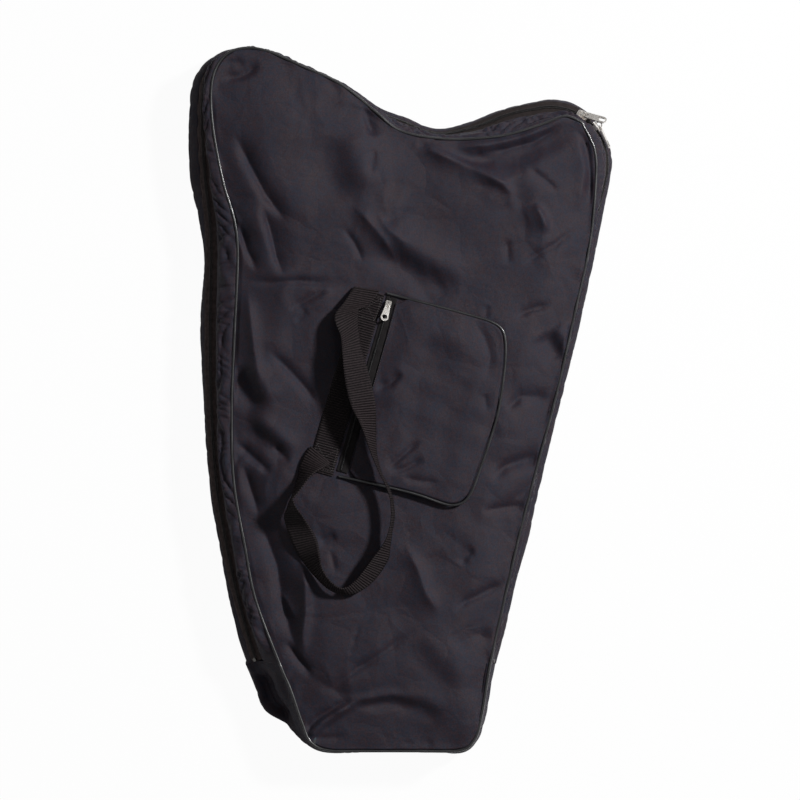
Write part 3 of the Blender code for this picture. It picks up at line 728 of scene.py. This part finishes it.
def back_panel_place(u, v):
    flat = within_seam("back", u * wall.length, 1.0 - v)
    height = back_sag * (0.5 + 0.5 * np.clip(clouds(flat[:, 0], flat[:, 1], 0.09, 21), -1, 1))
    return np.column_stack([flat, height * smooth(v, 0.0, 0.04)]), flat


padded_part("back_panel", "back_shell", 300, 40, back_panel_place, cloth_thickness, closed=True)

# Gussets
# Bands of the same cloth with thinner foam: one from the front seam to the zip, one from the zip
# to the back seam, and one of full depth round the foot. Sewn to a zip that is a little shorter,
# they pucker between the seams.
tape_width = 0.010
gusset_thickness = 0.0054
gusset_bulge, back_bulge = 0.004, 0.0022
end_reach = 0.045
slack_bulge, slack_lift, tight_lift = 0.003, 0.008, 0.006
crinkle_height, crease_height = 0.0013, 0.0026
tape_edge_share = 0.97
zip_length = wall.zip_end


def puckers(place, across, seed, pitch, height, slant=0.5):
    """Bubbles of cloth between two seams, with creases between them, irregular along the band."""
    draw = np.random.RandomState(seed)
    shift = draw.uniform(0, 6.28, 3)
    count = (place / pitch + 0.50 * np.sin(place * 1.9 / pitch + shift[0])
             + 0.8 * np.sin(place * 11 + shift[1]) + slant * (across - 0.5) * np.sin(place * 17))
    share = np.mod(count, 1.0)
    strength = 0.35 + 0.65 * np.mod(np.sin(np.floor(count) * 12.9898 + seed) * 437.5853, 1.0)
    bubble = (4 * share * (1 - share)) ** 0.6 - 0.65
    return bubble * strength * height * np.sin(math.pi * np.clip(across, 0, 1)) ** 0.8


def arched(top, middle, bottom, v):
    """Cloth that bends from one seam to the other through a line between them."""
    a, b = (1 - v)[:, None], v[:, None]
    return top * a * (a - b) + 4 * middle * a * b + bottom * b * (b - a)


def inside_ends(place, start, end):
    """1 along a band, falling to 0 at its two ends."""
    return smooth(place - start, 0.0, end_reach) * smooth(end - place, 0.0, end_reach)


def waves(place, seed, height):
    """Slow unevenness along a band."""
    return clouds(place, np.zeros_like(place), 0.12, seed) * height


def front_gusset_place(u, v):
    place = u * zip_length
    top = wall.seam("front", place, front_seam_height)
    bottom = wall.tape(place, tape_width * tape_edge_share, 0.0)
    outward = unit(wall.at("outward", place))
    middle = (top + bottom) / 2
    ends = inside_ends(place, 0.0, zip_length)
    slack = smooth(-outward[:, 0], 0.2, 0.8) * ends
    tight = smooth(outward[:, 0], 0.2, 0.8) * ends
    creased = smooth(outward[:, 1], 0.5, 0.9) * smooth(top[:, 0], 0.06, 0.16)
    middle[:, :2] += outward * (gusset_bulge + slack_bulge * slack)[:, None]
    middle[:, 2] += slack_lift * slack + tight_lift * tight
    points = arched(top, middle, bottom, v)
    lengthwise = (crinkle_height * np.sin(10 * v + 3 * np.sin(place * 29) + 2 * np.sin(place * 61))
                  + waves(place, 41, 0.0006) + creased * crease_height * np.sin(15 * v + 9 * place))
    bump = (puckers(place, v, 5, 0.042, 0.0060, 2.6) + puckers(place, v, 6, 0.019, 0.0032, -2.2)
            + puckers(place, v, 7, 0.0105, 0.0012, 1.8) + lengthwise * np.sin(math.pi * v)) * ends
    lean = wall.at("lean", place)
    points[:, :2] += outward * (bump * np.cos(lean))[:, None]
    points[:, 2] += bump * np.sin(lean)
    width = np.linalg.norm(top - bottom, axis=1)
    return points, np.column_stack([place, v * width])


padded_part("front_gusset", "lid", int(1300 * quick_share), 16, front_gusset_place,
            gusset_thickness)


def back_gusset_place(u, v):
    place = u * zip_length
    top = wall.tape(place, -tape_width * tape_edge_share, 0.0)
    middle = wall.seam("widest", place, widest_height)
    bottom = wall.seam("back", place, piping_radius)
    points = arched(top, middle, bottom, v)
    outward = unit(wall.at("outward", place))
    bump = (puckers(place, v, 9, 0.052, 0.0018) + puckers(place, v, 10, 0.021, 0.0006, 1.2)
            + (waves(place, 43, 0.0009) + back_bulge) * np.sin(math.pi * v))
    bump *= inside_ends(place, 0.0, zip_length)
    points[:, :2] += outward * bump[:, None]
    width = np.linalg.norm(top - middle, axis=1) + np.linalg.norm(middle - bottom, axis=1)
    return points, np.column_stack([place, v * width])


padded_part("back_gusset", "back_shell", int(1100 * quick_share), 20, back_gusset_place,
            gusset_thickness)


foot_folds = [
    ([(250, 666), (260, 684), (270, 698), (280, 712), (292, 732)], 3, 2, 6.0, "v"),
    ([(258, 664), (271, 688), (286, 712), (297, 732)], 4, 4, 4.5, "v"),
    ([(258, 672), (264, 690), (274, 708)], 3, 2, 2.6, "v"),
    ([(276, 668), (286, 690), (297, 718)], 3, 4, 3.4, "v"),
    ([(236, 632), (248, 664), (266, 694), (284, 716)], 4, 4, 3.0, "r"),
]
foot_corner = plan((270, 708))
corner_bulge, corner_reach = 0.011, 0.034
zip_end_dip, zip_end_reach = 0.0008, 0.02
bump_lift = 0.6
foot_cloth_width = front_seam_height + 0.020


def foot_gusset_place(u, v):
    place = zip_length + u * (wall.length - zip_length)
    top = wall.seam("front", place, front_seam_height)
    upper = wall.seam("zip_line", place, zip_height)
    lower = wall.seam("widest", place, widest_height)
    bottom = wall.seam("back", place, piping_radius)
    knots = np.stack([top, top, upper, lower, bottom, bottom])
    index = np.clip((v * 3).astype(int), 0, 2)
    rows = np.arange(len(v))
    points = between(*(knots[index + k, rows] for k in range(4)), (v * 3 - index)[:, None])
    outward = unit(wall.at("outward", place))
    bump = (puckers(place, v, 12, 0.060, 0.0030, 2.4) + puckers(place, v, 13, 0.023, 0.0008, 1.5)
            + waves(place, 47, 0.0010) * np.sin(math.pi * v))
    bump *= inside_ends(place, zip_length, wall.length)
    away = np.hypot(points[:, 0] - foot_corner[0], points[:, 1] - foot_corner[1])
    near_zip = (np.exp(-(place - zip_length) / zip_end_reach)
                + np.exp(-(wall.length - place) / zip_end_reach))
    inside_seams = smooth(np.minimum(v, 1 - v), 0.0, 0.12)
    creases = folded(points[:, 0], points[:, 1], foot_folds) * inside_seams
    corner = corner_bulge * np.exp(-(away / corner_reach) ** 2)
    bump += creases + (corner - zip_end_dip * near_zip) * inside_seams
    points[:, :2] += outward * bump[:, None]
    upper_half = smooth(0.75 - v, 0.0, 0.25)
    points[:, 2] += (bump + creases * upper_half) * bump_lift * np.sin(math.pi * v)
    return points, np.column_stack([place, v * foot_cloth_width])


padded_part("foot_gusset", "back_shell", int(420 * quick_share), 40, foot_gusset_place,
            gusset_thickness)

# Piping
# A cord wrapped in glossy black vinyl and sewn into the seam of each panel. The front one stands
# out a little plumper than the back one, which the cover rests on.


def worn_finish(name, wear, shades, rough, grain=None, limits=(0.35, 0.70), **settings):
    """A hard surface, uneven in colour and shine by its wear, with a fine grain if it has one."""
    worn = Finish(name, **settings)
    where = worn.add("TexCoord", None, 3)
    patches = worn.noise(where, *wear)
    base = worn.mix(worn.ramp(patches, (limits[0], 0.0), (limits[1], 1.0)), *shades)
    made = {"Base_Color": base, "Roughness": worn.ramp(patches, (0.30, rough[0]), (0.75, rough[1]))}
    if grain:
        scale, strength, depth = grain
        made["Normal"] = worn.bump(worn.noise(where, scale), strength, depth)
    return worn.finish(**made)


vinyl = worn_finish("piping_vinyl", (45.0, 4.0), ((0.009, 0.009, 0.010), (0.017, 0.017, 0.019)),
                    (0.30, 0.44), (900.0, 0.25, 0.0003), Roughness=0.34, Specular_IOR_Level=0.55,
                    Coat_Weight=0.42, Coat_Roughness=0.14)


def bent_line(name, lines, closed, **settings):
    """A mesh made from a curve through each line of points."""
    curve = bpy.data.curves.new(name, "CURVE")
    for setting, value in settings.items():
        setattr(curve, setting, value)
    for points in lines:
        spline = curve.splines.new("POLY")
        spline.points.add(len(points) - 1)
        spline.points.foreach_set("co", np.column_stack([points, np.ones(len(points))]).ravel())
        spline.use_cyclic_u = closed
    holder = put(name + "_line", curve)
    bpy.context.view_layer.update()
    mesh = bpy.data.meshes.new_from_object(holder)
    mesh.name = name
    mesh.materials.clear()
    bpy.data.objects.remove(holder, do_unlink=True)
    return mesh


def tube(name, points, radius, body, slot, material, stands_for, closed=False, sides=2):
    """A round cord along points."""
    mesh = bent_line(name, [points], closed, dimensions="3D", bevel_depth=radius,
                     bevel_resolution=sides, use_fill_caps=True,
                     twist_mode="Z_UP" if closed else "MINIMUM")
    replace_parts(add_piece(name, mesh, body, slot, material), stands_for)


piping_steps, piping_ripple = 900, 0.0006
plump, pressed = 1.05, 0.98
piping_places = np.linspace(0, wall.length, piping_steps, endpoint=False)
ripple = piping_ripple * np.sin(piping_places * 23) * np.sin(piping_places * 61)
tube("front_piping_cord", wall.seam("front", piping_places, front_seam_height + ripple),
     piping_radius * plump, "lid", "vinyl_piping", vinyl, "front_piping", closed=True)
tube("back_piping_cord", wall.seam("back", piping_places, piping_radius), piping_radius * pressed,
     "back_shell", "vinyl_piping", vinyl, "back_piping", closed=True)

# Zip round the gusset
# Two woven tapes, each with a nylon coil sewn along its inner edge, running from the left of the
# foot up over the top and down to the right of the foot.
tape_thickness = 0.0008
tape_overlap = 0.0015
tape_middle, tape_ripple, tape_rib_pitch = 0.0001, 0.0003, 0.0013
weave_radians_per_metre = 5200
coil_radius, coil_pitch = 0.0012, 0.0021
tooth_radius, turn_steps = 0.00042, 7
coil_end = 0.006
gap = 0.0003


def tape_finish(name, colour, painted_left_gain=2.4):
    tape = Finish(name, Roughness=0.86, Specular_IOR_Level=0.25)
    flat, along, across = tape.on_cloth()
    picks = tape.maths("SINE", along * weave_radians_per_metre) * 0.5
    ribs = tape.maths("SINE", across * (2 * math.pi / tape_rib_pitch) + picks)
    dust = tape.noise(flat, 160.0, 4.0)
    dark = tuple(channel * 0.65 for channel in colour)
    light = tuple(channel * 1.5 for channel in colour)
    woven = tape.mix(tape.ramp(dust + ribs * 0.12, (0.30, 0.0), (0.74, 1.0)), dark, light)
    # Painted light and shade: up the left side of the zip, where the tape lies in shade, its colour is
    # painted lighter by the left gain; over the top and down the right, where it is lit, it is painted
    # darker. The pocket's short tape takes the left gain all along.
    painted_light_and_shade = tape.ramp(along * 0.4, (0.33, painted_left_gain), (0.43, 0.72))
    base = tape.tinted(woven, painted_light_and_shade)
    normal = tape.bump(ribs + dust, 0.5, 0.0003)
    return tape.finish(Base_Color=base, Normal=normal)


tape_cloth = tape_finish("zip_tape", (0.027, 0.0195, 0.0190))
coil_nylon = worn_finish("zip_coil", (130.0, 3.0), ((0.014, 0.014, 0.015), (0.036, 0.035, 0.036)),
                         (0.36, 0.55), Roughness=0.42, Specular_IOR_Level=0.5)


def tape_strip(name, body, steps, place, material):
    """One woven tape, standing for the node of the same name."""
    piece = add_piece(name + "_strip", warped_grid(name + "_strip", steps, 4, place), body,
                      "zip_tape", material)
    thicken(piece, tape_thickness)
    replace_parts(piece, name)
    return piece


def tape_piece(name, side, body):
    near, far = tape_middle, tape_width + tape_overlap

    def place_on(u, v):
        place = u * zip_length
        along = side * (near + (far - near) * v)
        wave = tape_ripple * np.sin(place * 180 + side) * v
        points = wall.tape(place, along, tape_thickness / 2 + wave)
        return points, np.column_stack([place, v * (far - near)])

    piece = tape_strip(name + "_tape", body, int(1100 * quick_share), place_on, tape_cloth)
    if side > 0:
        piece.data.flip_normals()


def coil_piece(name, side, body):
    turns = int((zip_length - 2 * coil_end) / coil_pitch * (1))
    steps = turns * turn_steps
    place = np.linspace(coil_end, zip_length - coil_end, steps)
    turn = np.arange(steps) * 2 * math.pi / turn_steps
    wound = coil_radius - tooth_radius
    reach = coil_radius + gap + wound * np.cos(turn) * side
    height = tape_thickness / 2 + gap + coil_radius + wound * np.sin(turn)
    tube(name + "_coil_turns", wall.tape(place, side * reach, height), tooth_radius, body,
         "zip_coil", coil_nylon, name + "_coil", sides=0)


for name, side, body in (("front_zip", 1, "lid"), ("back_zip", -1, "back_shell")):
    tape_piece(name, side, body)
    coil_piece(name, side, body)

# Metal
# Cast and plated sliders with pulls stamped from sheet, and a darker stop crimped on each end of
# the zip. All of them keep the shape of their solids and only get their finish here.
nickel = worn_finish("nickel", (90.0, 3.0), ((0.79, 0.745, 0.70), (0.88, 0.85, 0.81)), (0.22, 0.32),
                     (1500.0, 0.04, 0.00005), (0.34, 0.66), Metallic=1.0, Roughness=0.26)
dark_metal = Finish("dark_metal", Metallic=1.0, Roughness=0.42,
                    Base_Color=(0.16, 0.155, 0.15, 1.0)).material
for node, metal in (("left_slider", nickel), ("right_slider", nickel), ("left_pull", nickel),
                    ("right_pull", nickel), ("left_zip_stop", dark_metal),
                    ("right_zip_stop", dark_metal), ("pocket_slider", nickel)):
    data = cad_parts[node].data
    data.materials.clear()
    data.materials.append(metal)

# Front pocket
# A patch of the same nylon with piping on three edges and a straight zip along the fourth. It is
# sewn to the front panel by its rim and stands off it, most at its lower edge.
deck_height = front_seam_top + dome_height
pocket_height = 0.0080
rim_height, rim_extra, rim_low = 0.0046, 0.0022, 0.0006
pocket_above_deck, pocket_swell = 0.0012, 0.0005
pocket_overhang, pocket_tuck = 0.068, 0.035
rise_at_rim = 0.14
pocket_cloth_thickness = 0.001
pocket_piping_radius, piping_above_deck = 0.0019, 0.0024
pocket_edge_steps = 1200
pocket_px = [
    (394, 300), (414, 303.5), (443, 311), (471, 319), (489, 325), (498, 332), (501, 342), (501, 361),
    (498, 387), (493, 415), (485, 441), (476, 466), (468, 488), (461, 497), (453, 500), (444, 499),
    (417, 490), (389, 483), (362, 477), (347, 473.5),
]
pocket_piping_px = [
    (387, 293.5), (412, 300), (443, 308), (472, 316), (491, 322), (501.5, 329.5), (505, 341),
    (505, 361), (502, 387), (497, 415), (489, 442), (480, 468), (472, 490), (464, 501), (454, 504.5),
    (443, 503), (417, 494), (389, 487), (360, 480.5), (339, 476),
]
pocket_centre_px = (430, 397)
pocket_folds = [
    ([(474, 321), (484, 337), (490, 356), (486, 382)], 8, 4, 2.6, "v"),
    ([(385, 471), (402, 456), (421, 439)], 4, 3, 2.8, "v"),
    ([(388, 473), (405, 468), (425, 458)], 4, 3, 2.4, "v"),
    ([(374, 389), (390, 384), (403, 372)], 5, 3, 3.4, "v"),
    ([(400, 477), (420, 481), (440, 482)], 4, 3, 1.8, "v"),
    ([(484, 393), (487, 412)], 3, 3, 1.4, "v"),
    ([(430, 330), (445, 350), (452, 380)], 14, 14, 1.6, "s"),
]


def curve_through(points, count):
    """Evenly spaced places on a smooth line through points."""
    points = np.asarray(points, float)
    held = np.concatenate([points[:1], points, points[-1:]])
    fine = [between(*held[index:index + 4], step / steps_between)
            for index in range(len(points) - 1) for step in range(steps_between)]
    return spread(np.array([*fine, points[-1]]), count)


pocket_curve = curve_through(plan(pocket_px), 960)
beside_zip_steps = pocket_edge_steps - len(pocket_curve) + 1
pocket_edge = np.concatenate([pocket_curve, np.linspace(pocket_curve[-1], pocket_curve[0],
                                                        beside_zip_steps)[1:], pocket_curve[:1]])


def pocket_lift(flat):
    """How far the pocket's rim stands off the panel, most at its lower edge."""
    down, out = from_pocket_zip(flat)
    return (rim_height + rim_extra * smooth(down, 0.15, 0.25)) * smooth(out, 0.004, 0.05)


def read_rows(table, share):
    """Places a share of the way through a table of evenly spaced ones."""
    at = share * (len(table) - 1)
    low = np.minimum(at.astype(int), len(table) - 2)
    part = (at - low)[:, None]
    return table[low] * (1 - part) + table[low + 1] * part


def pocket_place(u, v):
    edge = read_rows(pocket_edge, u)
    centre = plan(pocket_centre_px)
    skirt = smooth(v, 0.0, 0.045)
    _, out = from_pocket_zip(edge)
    reach = (1.0 - v) * (1.0 + pocket_overhang * smooth(out, 0.006, 0.030))
    reach -= pocket_tuck * (1 - skirt)
    flat = centre + (edge - centre) * reach[:, None]
    rise = rise_at_rim + (1 - rise_at_rim) * smooth(v, 0.0, 0.45)
    folds = folded(flat[:, 0], flat[:, 1], pocket_folds) * smooth(v, 0.03, 0.10)
    swells = clouds(flat[:, 0], flat[:, 1], 0.05, 31) * pocket_swell * smooth(v, 0.04, 0.14)
    full = rim_low + pocket_height * rise + pocket_lift(edge) * (1 - smooth(v, 0.1, 0.6))
    height = deck_height + pocket_above_deck + full * skirt + folds + swells
    return np.column_stack([flat, height]), flat


pocket = add_piece("pocket_cloth", warped_grid("pocket_cloth", 300, 72, pocket_place, closed=True),
                   "lid", "black_nylon", nylon)
pocket.data.flip_normals()
thicken(pocket, pocket_cloth_thickness)
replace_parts(pocket, "pocket_panel")
pocket_piping_line = curve_through(plan(pocket_piping_px), 260)
pocket_piping_height = deck_height + piping_above_deck + pocket_lift(pocket_piping_line)
tube("pocket_piping_cord", np.column_stack([pocket_piping_line, pocket_piping_height]),
     pocket_piping_radius, "lid", "vinyl_piping", vinyl, "pocket_piping")

# Pocket zip
# A lighter zip of the same make: two narrow tapes with a closed nylon chain between them, sewn
# flat on the front panel beside the webbing band.
pocket_tape_near, pocket_inner_far, pocket_outer_far = 0.0001, 0.0103, 0.0056
chain_pitch, chain_radius, chain_rise, chain_wire = 0.0016, 0.0011, 0.0006, 0.0004
chain_steps = 8
pocket_tape_ripple = 0.0002
pocket_tape_cloth = tape_finish("pocket_tape", (0.0105, 0.0088, 0.0094), 0.9)


def pocket_tape(name, near, far):
    def place_on(u, v):
        along = u * pocket_zip_length
        flat = beside_zip(along, near + (far - near) * v)
        height = deck_height + gap + tape_thickness + pocket_tape_ripple * np.sin(u * 90)
        return np.column_stack([flat, height]), np.column_stack([along, v * (far - near)])

    return tape_strip(name, "lid", 200, place_on, pocket_tape_cloth)


pocket_inner = pocket_tape("pocket_inner_tape", pocket_tape_near, pocket_inner_far)
pocket_outer = pocket_tape("pocket_outer_tape", -pocket_outer_far, -pocket_tape_near)
chain_count = int(pocket_zip_length / chain_pitch) * chain_steps
chain_turn = np.arange(chain_count) * 2 * math.pi / chain_steps
chain_flat = beside_zip(np.linspace(0.01, 0.99, chain_count) * pocket_zip_length,
                        chain_radius * np.cos(chain_turn))
chain_height = (deck_height + 2 * gap + tape_thickness + chain_radius
                + chain_rise * np.sin(chain_turn))
tube("pocket_zip_turns", np.column_stack([chain_flat, chain_height]), chain_wire, "lid",
     "zip_coil", coil_nylon, "pocket_zip_chain", sides=0)

# Pocket pull
# A tab with a round grip hole, stamped from sheet metal and plated, hung on the pocket slider's
# bridge by its eye.
pull_length, pull_thickness = 0.0235, 0.0013
pull_end_radius, pull_neck_radius = 0.00575, 0.0041
pull_end_bar, pull_bevel = 0.00086, 0.0002
# Middle, length and width of the eye and of the grip hole
pull_eye = (0.0028, 0.0040, 0.0038)
pull_grip_hole = (0.0172, 0.0062, 0.0070)
pull_lift = math.radians(4.0)
pull_run = Vector((*(zip_run * math.cos(pull_lift)), math.sin(pull_lift)))
pull_side = Vector((-zip_run[1], zip_run[0], 0.0))
pull_face = pull_run.cross(pull_side)
cast_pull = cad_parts["pocket_pull"]
cast_points = [cast_pull.matrix_world @ vertex.co for vertex in cast_pull.data.vertices]


def across_cast(direction):
    """How far the cast pull reaches along a direction."""
    reach = [point.dot(direction) for point in cast_points]
    return min(reach), max(reach)


def rounded(middle, length, width, turns):
    """Places round an oval that lies along the pull."""
    return np.column_stack([middle + length / 2 * np.cos(turns), width / 2 * np.sin(turns)])


def pull_outline():
    """A round end and a narrower round neck, joined by straight sides."""
    neck, end = pull_neck_radius - pull_end_bar, pull_length - pull_end_radius
    side = math.acos((pull_neck_radius - pull_end_radius) / (end - neck))
    wide = rounded(end, 2 * pull_end_radius, 2 * pull_end_radius, np.linspace(-side, side, 20))
    narrow = rounded(neck, 2 * pull_neck_radius, 2 * pull_neck_radius,
                     np.linspace(side, 2 * math.pi - side, 14))
    return np.concatenate([wide, narrow])


whole_turn = np.linspace(0, 2 * math.pi, 24, endpoint=False)
pull_lines = [np.column_stack([line, np.zeros(len(line))])
              for line in (pull_outline(), rounded(*pull_eye, whole_turn),
                           rounded(*pull_grip_hole, whole_turn))]
pull_mesh = bent_line("pocket_pull_plate", pull_lines, True, dimensions="2D", fill_mode="BOTH",
                      bevel_depth=pull_bevel, offset=-pull_bevel,
                      extrude=pull_thickness / 2 - pull_bevel)
pull_place = (pull_run * (across_cast(pull_run)[0] + pull_end_bar)
              + pull_side * sum(across_cast(pull_side)) / 2
              + pull_face * sum(across_cast(pull_face)) / 2)
pull_turn = Matrix((pull_run, pull_side, pull_face)).transposed().to_4x4()
pull_mesh.transform(Matrix.Translation(pull_place) @ pull_turn)
pull_plate = add_piece("pocket_pull_plate", pull_mesh, "pocket_pull", "nickel", nickel)
pull_plate.data.shade_flat()
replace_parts(pull_plate, "pocket_pull")

# Webbing
# One length of ribbed nylon webbing: sewn flat as a band beside the pocket, and standing clear of
# the cover between the band's ends as the carry handle.
webbing_thickness = 0.0016
webbing_px = 26.0
handle_height = 0.035
rib_pitch, rib_height = 0.0036, 0.0003
yarn_width, yarn_length = 0.0016, 0.0054
band_gap, band_overrun = 0.0037, 0.0095
strand_rows = 400
# Each row of a strand: its two edges as seen, its height, and how much of its breadth is left
# where it is folded lengthwise
upper_strand_route = [
    ((354, 287), (380, 291), 0.097, 1), ((345, 302), (369, 306), 0.314, 1),
    ((335, 317), (359, 310), 0.571, 1), ((341, 336), (358, 324), 0.771, 1),
    ((343, 354), (362, 350), 0.914, 1), ((346, 383), (370, 378), 1, 1),
    ((351, 404), (375, 401), 1, 1), ((359, 420), (376, 420), 0.943, 0.9),
    ((365, 435), (376, 438), 0.886, 0.7), ((371, 452), (377, 454), 0.829, 0.5),
    ((379, 471), (381.5, 472), 0.8, 0.36), ((386, 485), (388.5, 485.5), 0.786, 0.34),
    ((390.5, 498.3), (393, 498.3), 0.786, 0.34),
]
loop_route = [
    ((390.5, 498.1), (393, 498.1), 0.786, 0.34), ((391.5, 515), (394.5, 515), 0.757, 0.34),
    ((388.5, 532), (392, 532), 0.714, 0.4), ((383, 544), (390, 547), 0.671, 0.6),
    ((374.5, 555), (388, 559), 0.586, 0.8), ((365, 568), (378, 575), 0.543, 0.8),
    ((355, 580), (364, 588), 0.560, 0.6), ((344, 587), (348, 594), 0.54, 0.5),
    ((333, 582), (330, 589), 0.54, 0.6), ((323, 568), (315.5, 576), 0.5, 0.8),
    ((320, 552), (302.5, 560), 0.42, 1), ((316, 536), (292, 541), 0.257, 1),
    ((305, 518), (285, 519), 0.371, 1), ((297, 507), (287.5, 508), 0.571, 1),
    ((293.5, 498.1), (291, 498.1), 0.657, 1),
]
lower_strand_route = [
    ((293.5, 498.3), (291, 498.3), 0.657, 1), ((302.5, 487), (295.5, 487), 0.6, 1),
    ((310, 477), (299, 475), 0.586, 1), ((319, 470), (301, 463), 0.471, 1),
    ((331, 463), (311, 446), 0.097, 1),
]


def webbing_finish():
    web = Finish("webbing", Roughness=0.55, Specular_IOR_Level=0.16)
    flat, along, across = web.on_cloth()
    ribs = web.maths("SINE", along * (2 * math.pi / rib_pitch))
    slant = across * (2 * math.pi / yarn_width) + along * (2 * math.pi / yarn_length)
    threads = web.maths("SINE", slant)
    dust = web.noise(flat, 300.0, 4.0)
    # Painted light and shade: the crests of the ribs and threads are painted lighter and their grooves
    # darker, in step with their bumps; the dust noise varies the tone at random.
    dust_and_rib_shade = dust + ribs * 0.30 + threads * 0.08
    base = web.mix(web.ramp(dust_and_rib_shade, (0.16, 0.0), (0.86, 1.0)), (0.0014, 0.0010, 0.0014),
                   (0.0270, 0.0195, 0.0210))
    normal = web.bump(threads * 0.4 + ribs, 0.7, 0.0005)
    return web.finish(Base_Color=base, Normal=normal)


webbing = webbing_finish()


def rib_rise(place, v):
    """Height of the webbing's ribs, fading at its two edges."""
    inside = smooth(np.minimum(v, 1 - v), 0, 0.07)
    return rib_height * np.sin(place * 2 * math.pi / rib_pitch) * inside


def ribbon(name, route, body):
    """Webbing through its two edges as they are seen, as wide as it really is."""
    rows = []
    for first, second, height, breadth in route:
        seen = np.array(second) - np.array(first)
        share = min(np.linalg.norm(seen) / webbing_px / breadth, 1.0)
        flat = unit(plan(second) - plan(first)) * share
        half = np.array([*flat, -math.sqrt(1 - share ** 2)]) * webbing_width * breadth / 2
        centre = np.array([*((plan(first) + plan(second)) / 2), deck_height + handle_height * height])
        rows.append(np.concatenate([centre - half, centre + half, [breadth]]))
    edges = curve_through(rows, strand_rows)
    middle = (edges[:, :3] + edges[:, 3:6]) / 2
    half = unit(edges[:, 3:6] - edges[:, :3]) * (webbing_width * edges[:, 6] / 2)[:, None]
    length = distances(middle)
    run = unit(np.gradient(middle, axis=0))
    normal = unit(np.cross(run, half))

    def place_on(u, v):
        centre, side, out = (read_rows(table, u) for table in (middle, half, normal))
        place = np.interp(u, np.linspace(0, 1, strand_rows), length)
        points = centre + side * (2 * v - 1)[:, None] + out * rib_rise(place, v)[:, None]
        return points, np.column_stack([place, v * webbing_width])

    steps = int(length[-1] / (rib_pitch / 6))
    piece = add_piece(name + "_webbing", warped_grid(name + "_webbing", steps, 10, place_on), body,
                      "webbing", webbing)
    thicken(piece, webbing_thickness, offset=0.0)
    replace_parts(piece, name)
    return piece


ribbon("handle_upper_strand", upper_strand_route, "lid")
ribbon("handle_lower_strand", lower_strand_route, "lid")
loop = ribbon("handle_loop", loop_route, None)
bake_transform(loop)
band_near = -pocket_outer_far - band_gap
band_length = pocket_zip_length + band_overrun


def band_place(u, v):
    flat = beside_zip(u * band_length, band_near - webbing_width * v)
    height = deck_height + gap + webbing_thickness + rib_rise(u * band_length, v)
    return np.column_stack([flat, height]), np.column_stack([u * band_length, v * webbing_width])


band = add_piece("webbing_band_strip", warped_grid("webbing_band_strip", 600, 10, band_place), "lid",
                 "webbing", webbing)
band.data.flip_normals()
thicken(band, webbing_thickness)
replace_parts(band, "webbing_band")

# Stitches
# Black thread: two rows beside the pocket's zip, and a crossed box at each end of the webbing
# band.
stitch_length, stitch_width, stitch_height = 0.0025, 0.0006, 0.0005
stitch_pitch, stitch_lift = 0.0034, 0.0001
row_end = 0.006
row_places = (0.0088, 0.0118)
box_length, box_inset = 0.034, 0.003
thread = Finish("thread", Roughness=0.55, Base_Color=(0.050, 0.044, 0.044, 1.0)).material
bpy.context.view_layer.update()


def stitches(name, lines, cloth, slot):
    """Rows of stitches lying on a piece of cloth that faces up."""
    bm = bmesh.new()
    for line in lines:
        places = spread(line, int(distances(line)[-1] / stitch_pitch) + 1)
        for start, end in zip(places[:-1], places[1:]):
            middle, run = (start + end) / 2, end - start
            hit, point, normal, _ = cloth.ray_cast((*middle, 0.3), (0, 0, -1))
            if not hit:
                continue
            turn = Matrix.Rotation(math.atan2(run[1], run[0]), 4, "Z")
            size = Matrix.Diagonal((stitch_length, stitch_width, stitch_height, 1.0))
            place = Matrix.Translation(point + normal * stitch_lift)
            bmesh.ops.create_cube(bm, size=1.0, matrix=place @ turn @ size)
    return add_piece(name, mesh_from(bm, name), "lid", slot, thread)


stitch_rows = [[beside_zip(row_end, out), beside_zip(pocket_zip_length - row_end, out)]
               for out in row_places]
stitches("pocket_stitches", stitch_rows, pocket, "black_nylon")
boxes = []
for start in (row_end, band_length - row_end - box_length):
    near, far = band_near - box_inset, band_near - webbing_width + box_inset
    end = start + box_length
    corners = [beside_zip(along, out)
               for along, out in ((start, near), (start, far), (end, far), (end, near))]
    boxes += [[*corners, corners[0]], [corners[0], corners[2]], [corners[1], corners[3]]]
stitches("webbing_stitches", boxes, band, "webbing")
